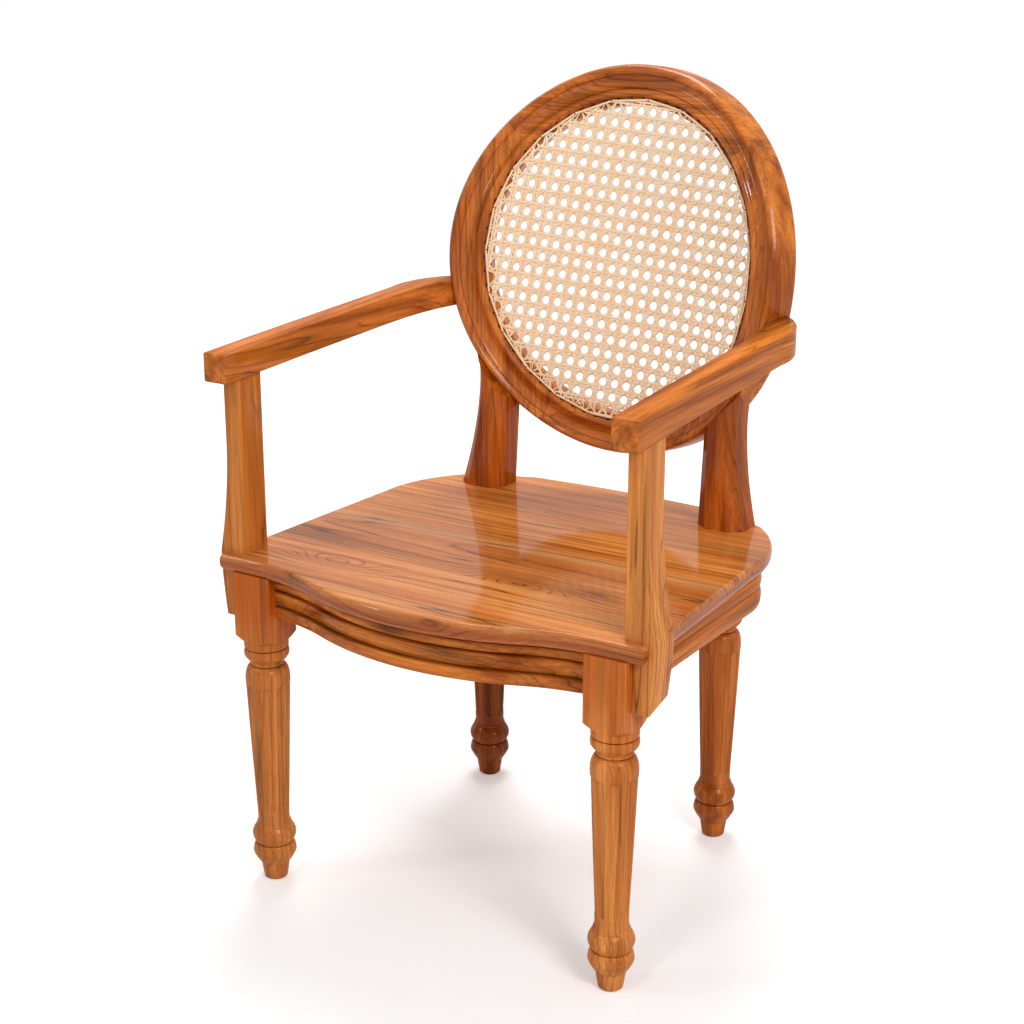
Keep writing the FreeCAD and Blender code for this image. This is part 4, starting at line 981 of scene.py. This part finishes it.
weave = 0.00028
lift = 0.00095
weave_lines = 15
diagonal_lines = 28
ups, overs, rising, falling = [], [], [], []
for line in range(-weave_lines, weave_lines + 1):
    for side in (-pair_gap, pair_gap):
        ups.append(drawn_down((line + 0.5 + side, 0), (0, 1), -weave, 1, strand_width))
        overs.append(drawn_down((0, line + 0.5 + side), (1, 0), weave, 0, strand_width))
for line in range(-diagonal_lines, diagonal_lines + 1):
    rising.append(drawn_down((line + 0.5, 0), (1, 1), -lift, 0, diagonal_width))
    falling.append(drawn_down((line + 0.5, 0), (1, -1), lift, 0, diagonal_width))

cane, cane_tree, cane_shader = new_finish("cane")
cane_place = shade(cane_tree, "ShaderNodeTexCoord", {}, {}).outputs["Object"]
cane_tint = shade(cane_tree, "ShaderNodeTexNoise", {}, {"Vector": cane_place, "Scale": 55.0, "Detail": 3.0})
cane_fibre = shade(cane_tree, "ShaderNodeTexNoise", {}, {"Vector": cane_place, "Scale": 900.0, "Detail": 2.0})
cane_edge_shade = shade(cane_tree, "ShaderNodeAttribute", {"attribute_name": "edge"}, {}).outputs["Fac"]
straw = mixed(cane_tree, "MIX", ramp(cane_tree, cane_tint.outputs["Fac"], [(0.35, 0.0), (0.65, 1.0)]),
              (1.0, 0.71, 0.43, 1), (1.0, 0.82, 0.58, 1))
straw = mixed(cane_tree, "MULTIPLY", 0.2, straw,
              ramp(cane_tree, cane_fibre.outputs["Fac"], [(0.35, 0.6), (0.6, 1.0)]))
# Painted shade between overlapping strands: the straw turns dark brown towards each strand's edges.
straw = mixed(cane_tree, "MIX", ramp(cane_tree, cane_edge_shade, [(0.1, 0.0), (0.75, 1.0)]), straw,
              (0.52, 0.18, 0.035, 1))
cane_tree.links.new(straw, cane_shader.inputs["Base Color"])
cane_shader.inputs["Roughness"].default_value = 0.42

sheets = {"cane_ups": ups, "cane_overs": overs, "cane_rising": rising, "cane_falling": falling}
for name, paths in sheets.items():
    sheet = strands(name, [rows for rows in paths if rows is not None], strand_edge_shade)
    fitted(sheet, cane, "cane", "cane_panel")

lace_level = 0.0022
lace_width = 0.0026
lace_gap = 0.015
lace_shade = 0.4
laced = []
for side in range(rim_sides):
    ends = rim_place(np.array([side + 0.5, side + 1.5]) / rim_sides)
    share = np.linspace(lace_gap, 1 - lace_gap, 13)[:, None]
    path = ends[0] * (1 - share) + ends[1] * share
    laced.append(ribbon(path, np.full(len(path), lace_level), np.full(len(path), lace_width)))
border = strands("cane_laced_rim", laced, strand_edge_shade * lace_shade)
fitted(border, cane, "cane", "cane_border")

peg_outset = 0.0014
peg_radius = 0.0015
stout_peg_radius = 0.0021
peg_foot = -0.0015
peg_head = 0.0018
peg_turn = np.linspace(0, 2 * np.pi, 12, endpoint=False)
pegs = []
for hole in range(rim_holes):
    middle = rim_place(hole / rim_holes, -peg_outset)
    size = stout_peg_radius if hole % holes_per_side == 1 else peg_radius
    outline = middle + size * np.stack([np.cos(peg_turn), np.sin(peg_turn)], axis=-1)
    pegs.append(np.stack([on_cane(outline, np.full_like(peg_turn, level)) for level in (peg_foot, peg_head)]))
rim_pegs = strands("cane_pegs", pegs, np.zeros_like(peg_turn))
peg_dark = teak("cane_peg_wood", "Y", (0.1, 0.2, 0.3), (0.07, 0.028, 0.010), (0.03, 0.012, 0.005))
fitted(rim_pegs, peg_dark, "cane", "cane_border")

# Floor, light and camera: a white studio floor under soft light, seen from the photo's standpoint.
# The background is white to the eye and in reflections, while the room that lights the chair is dimmer.
def seen(tree, low, high):
    """Number that is high for rays from the eye, mirror rays and rays through glass, and low for others."""
    path = shade(tree, "ShaderNodeLightPath", {}, {})
    eye = shade(tree, "ShaderNodeMath", {"operation": "ADD"},
                {0: path.outputs["Is Camera Ray"], 1: path.outputs["Is Glossy Ray"]})
    both = shade(tree, "ShaderNodeMath", {"operation": "ADD", "use_clamp": True},
                 {0: eye.outputs[0], 1: path.outputs["Is Transmission Ray"]})
    scaled = shade(tree, "ShaderNodeMapRange", {}, {"Value": both.outputs[0], "To Min": low, "To Max": high})
    return scaled.outputs["Result"]


floor_half = 30.0
floor_mesh = bpy.data.meshes.new("floor")
floor_corners = [(-floor_half, -floor_half, 0), (floor_half, -floor_half, 0), (floor_half, floor_half, 0),
                 (-floor_half, floor_half, 0)]
floor_mesh.from_pydata(floor_corners, [], [(0, 1, 2, 3)])
floor = bpy.data.objects.new("floor", floor_mesh)
bpy.context.scene.collection.objects.link(floor)
floor_white, floor_tree, floor_shader = new_finish("floor_white")
floor_shader.inputs["Base Color"].default_value = (0.9, 0.9, 0.9, 1)
floor_shader.inputs["Roughness"].default_value = 0.9
floor_shader.inputs["Specular IOR Level"].default_value = 0.0
floor_shader.inputs["Emission Color"].default_value = (1, 1, 1, 1)
floor_place = shade(floor_tree, "ShaderNodeTexCoord", {}, {}).outputs["Object"]
floor_reach = shade(floor_tree, "ShaderNodeVectorMath", {"operation": "LENGTH"}, {0: floor_place})
floor_glow = shade(floor_tree, "ShaderNodeMapRange", {},
                   {"Value": floor_reach.outputs["Value"], "From Min": 0.5, "From Max": 3.2, "To Min": 0.26,
                    "To Max": 0.66})
floor_light = seen(floor_tree, 0.0, floor_glow.outputs["Result"])
floor_tree.links.new(floor_light, floor_shader.inputs["Emission Strength"])
floor_mesh.materials.append(floor_white)

room_light = 0.40
world = bpy.data.worlds.new("studio")
bpy.context.scene.world = world
world.use_nodes = True
studio = world.node_tree.nodes["Background"]
studio.inputs["Color"].default_value = (1, 1, 1, 1)
world.node_tree.links.new(seen(world.node_tree, room_light, 1.0), studio.inputs["Strength"])

key_place = (2.6, -1.6, 2.5)
lamp_aim = Vector((0, 0, 0.5))
soft_boxes = {
    "key": (key_place, 1.3, 48),
    "spark": (key_place, 0.45, 11),
    "front": ((0.2, -1.7, 2.5), 0.28, 7),
    "fill": ((-2.3, -2.3, 2.1), 0.4, 9),
    "rear": ((-0.7, 1.2, 3.1), 1.4, 58),
}
for name, (spot, span, power) in soft_boxes.items():
    lamp = bpy.data.lights.new(name, "AREA")
    lamp.size = span
    lamp.energy = power
    holder = bpy.data.objects.new(name, lamp)
    holder.location = spot
    holder.rotation_euler = (lamp_aim - Vector(spot)).to_track_quat("-Z", "Y").to_euler()
    bpy.context.scene.collection.objects.link(holder)

camera_place = Vector((1.1978, front_axis_y - 1.7223, 1.2289))
camera_azimuth = math.radians(32.146)
camera_height = math.radians(17.948)
view_back = Vector((math.sin(camera_azimuth) * math.cos(camera_height),
                    -math.cos(camera_azimuth) * math.cos(camera_height), math.sin(camera_height)))
camera_data = bpy.data.cameras.new("photo_view")
camera_data.sensor_width = 36.0
camera_data.lens = 66.18
camera = bpy.data.objects.new("photo_view", camera_data)
camera.location = camera_place
camera.rotation_euler = view_back.to_track_quat("Z", "Y").to_euler()
bpy.context.scene.collection.objects.link(camera)

scene = bpy.context.scene
scene.camera = camera
scene.view_settings.view_transform = "Standard"
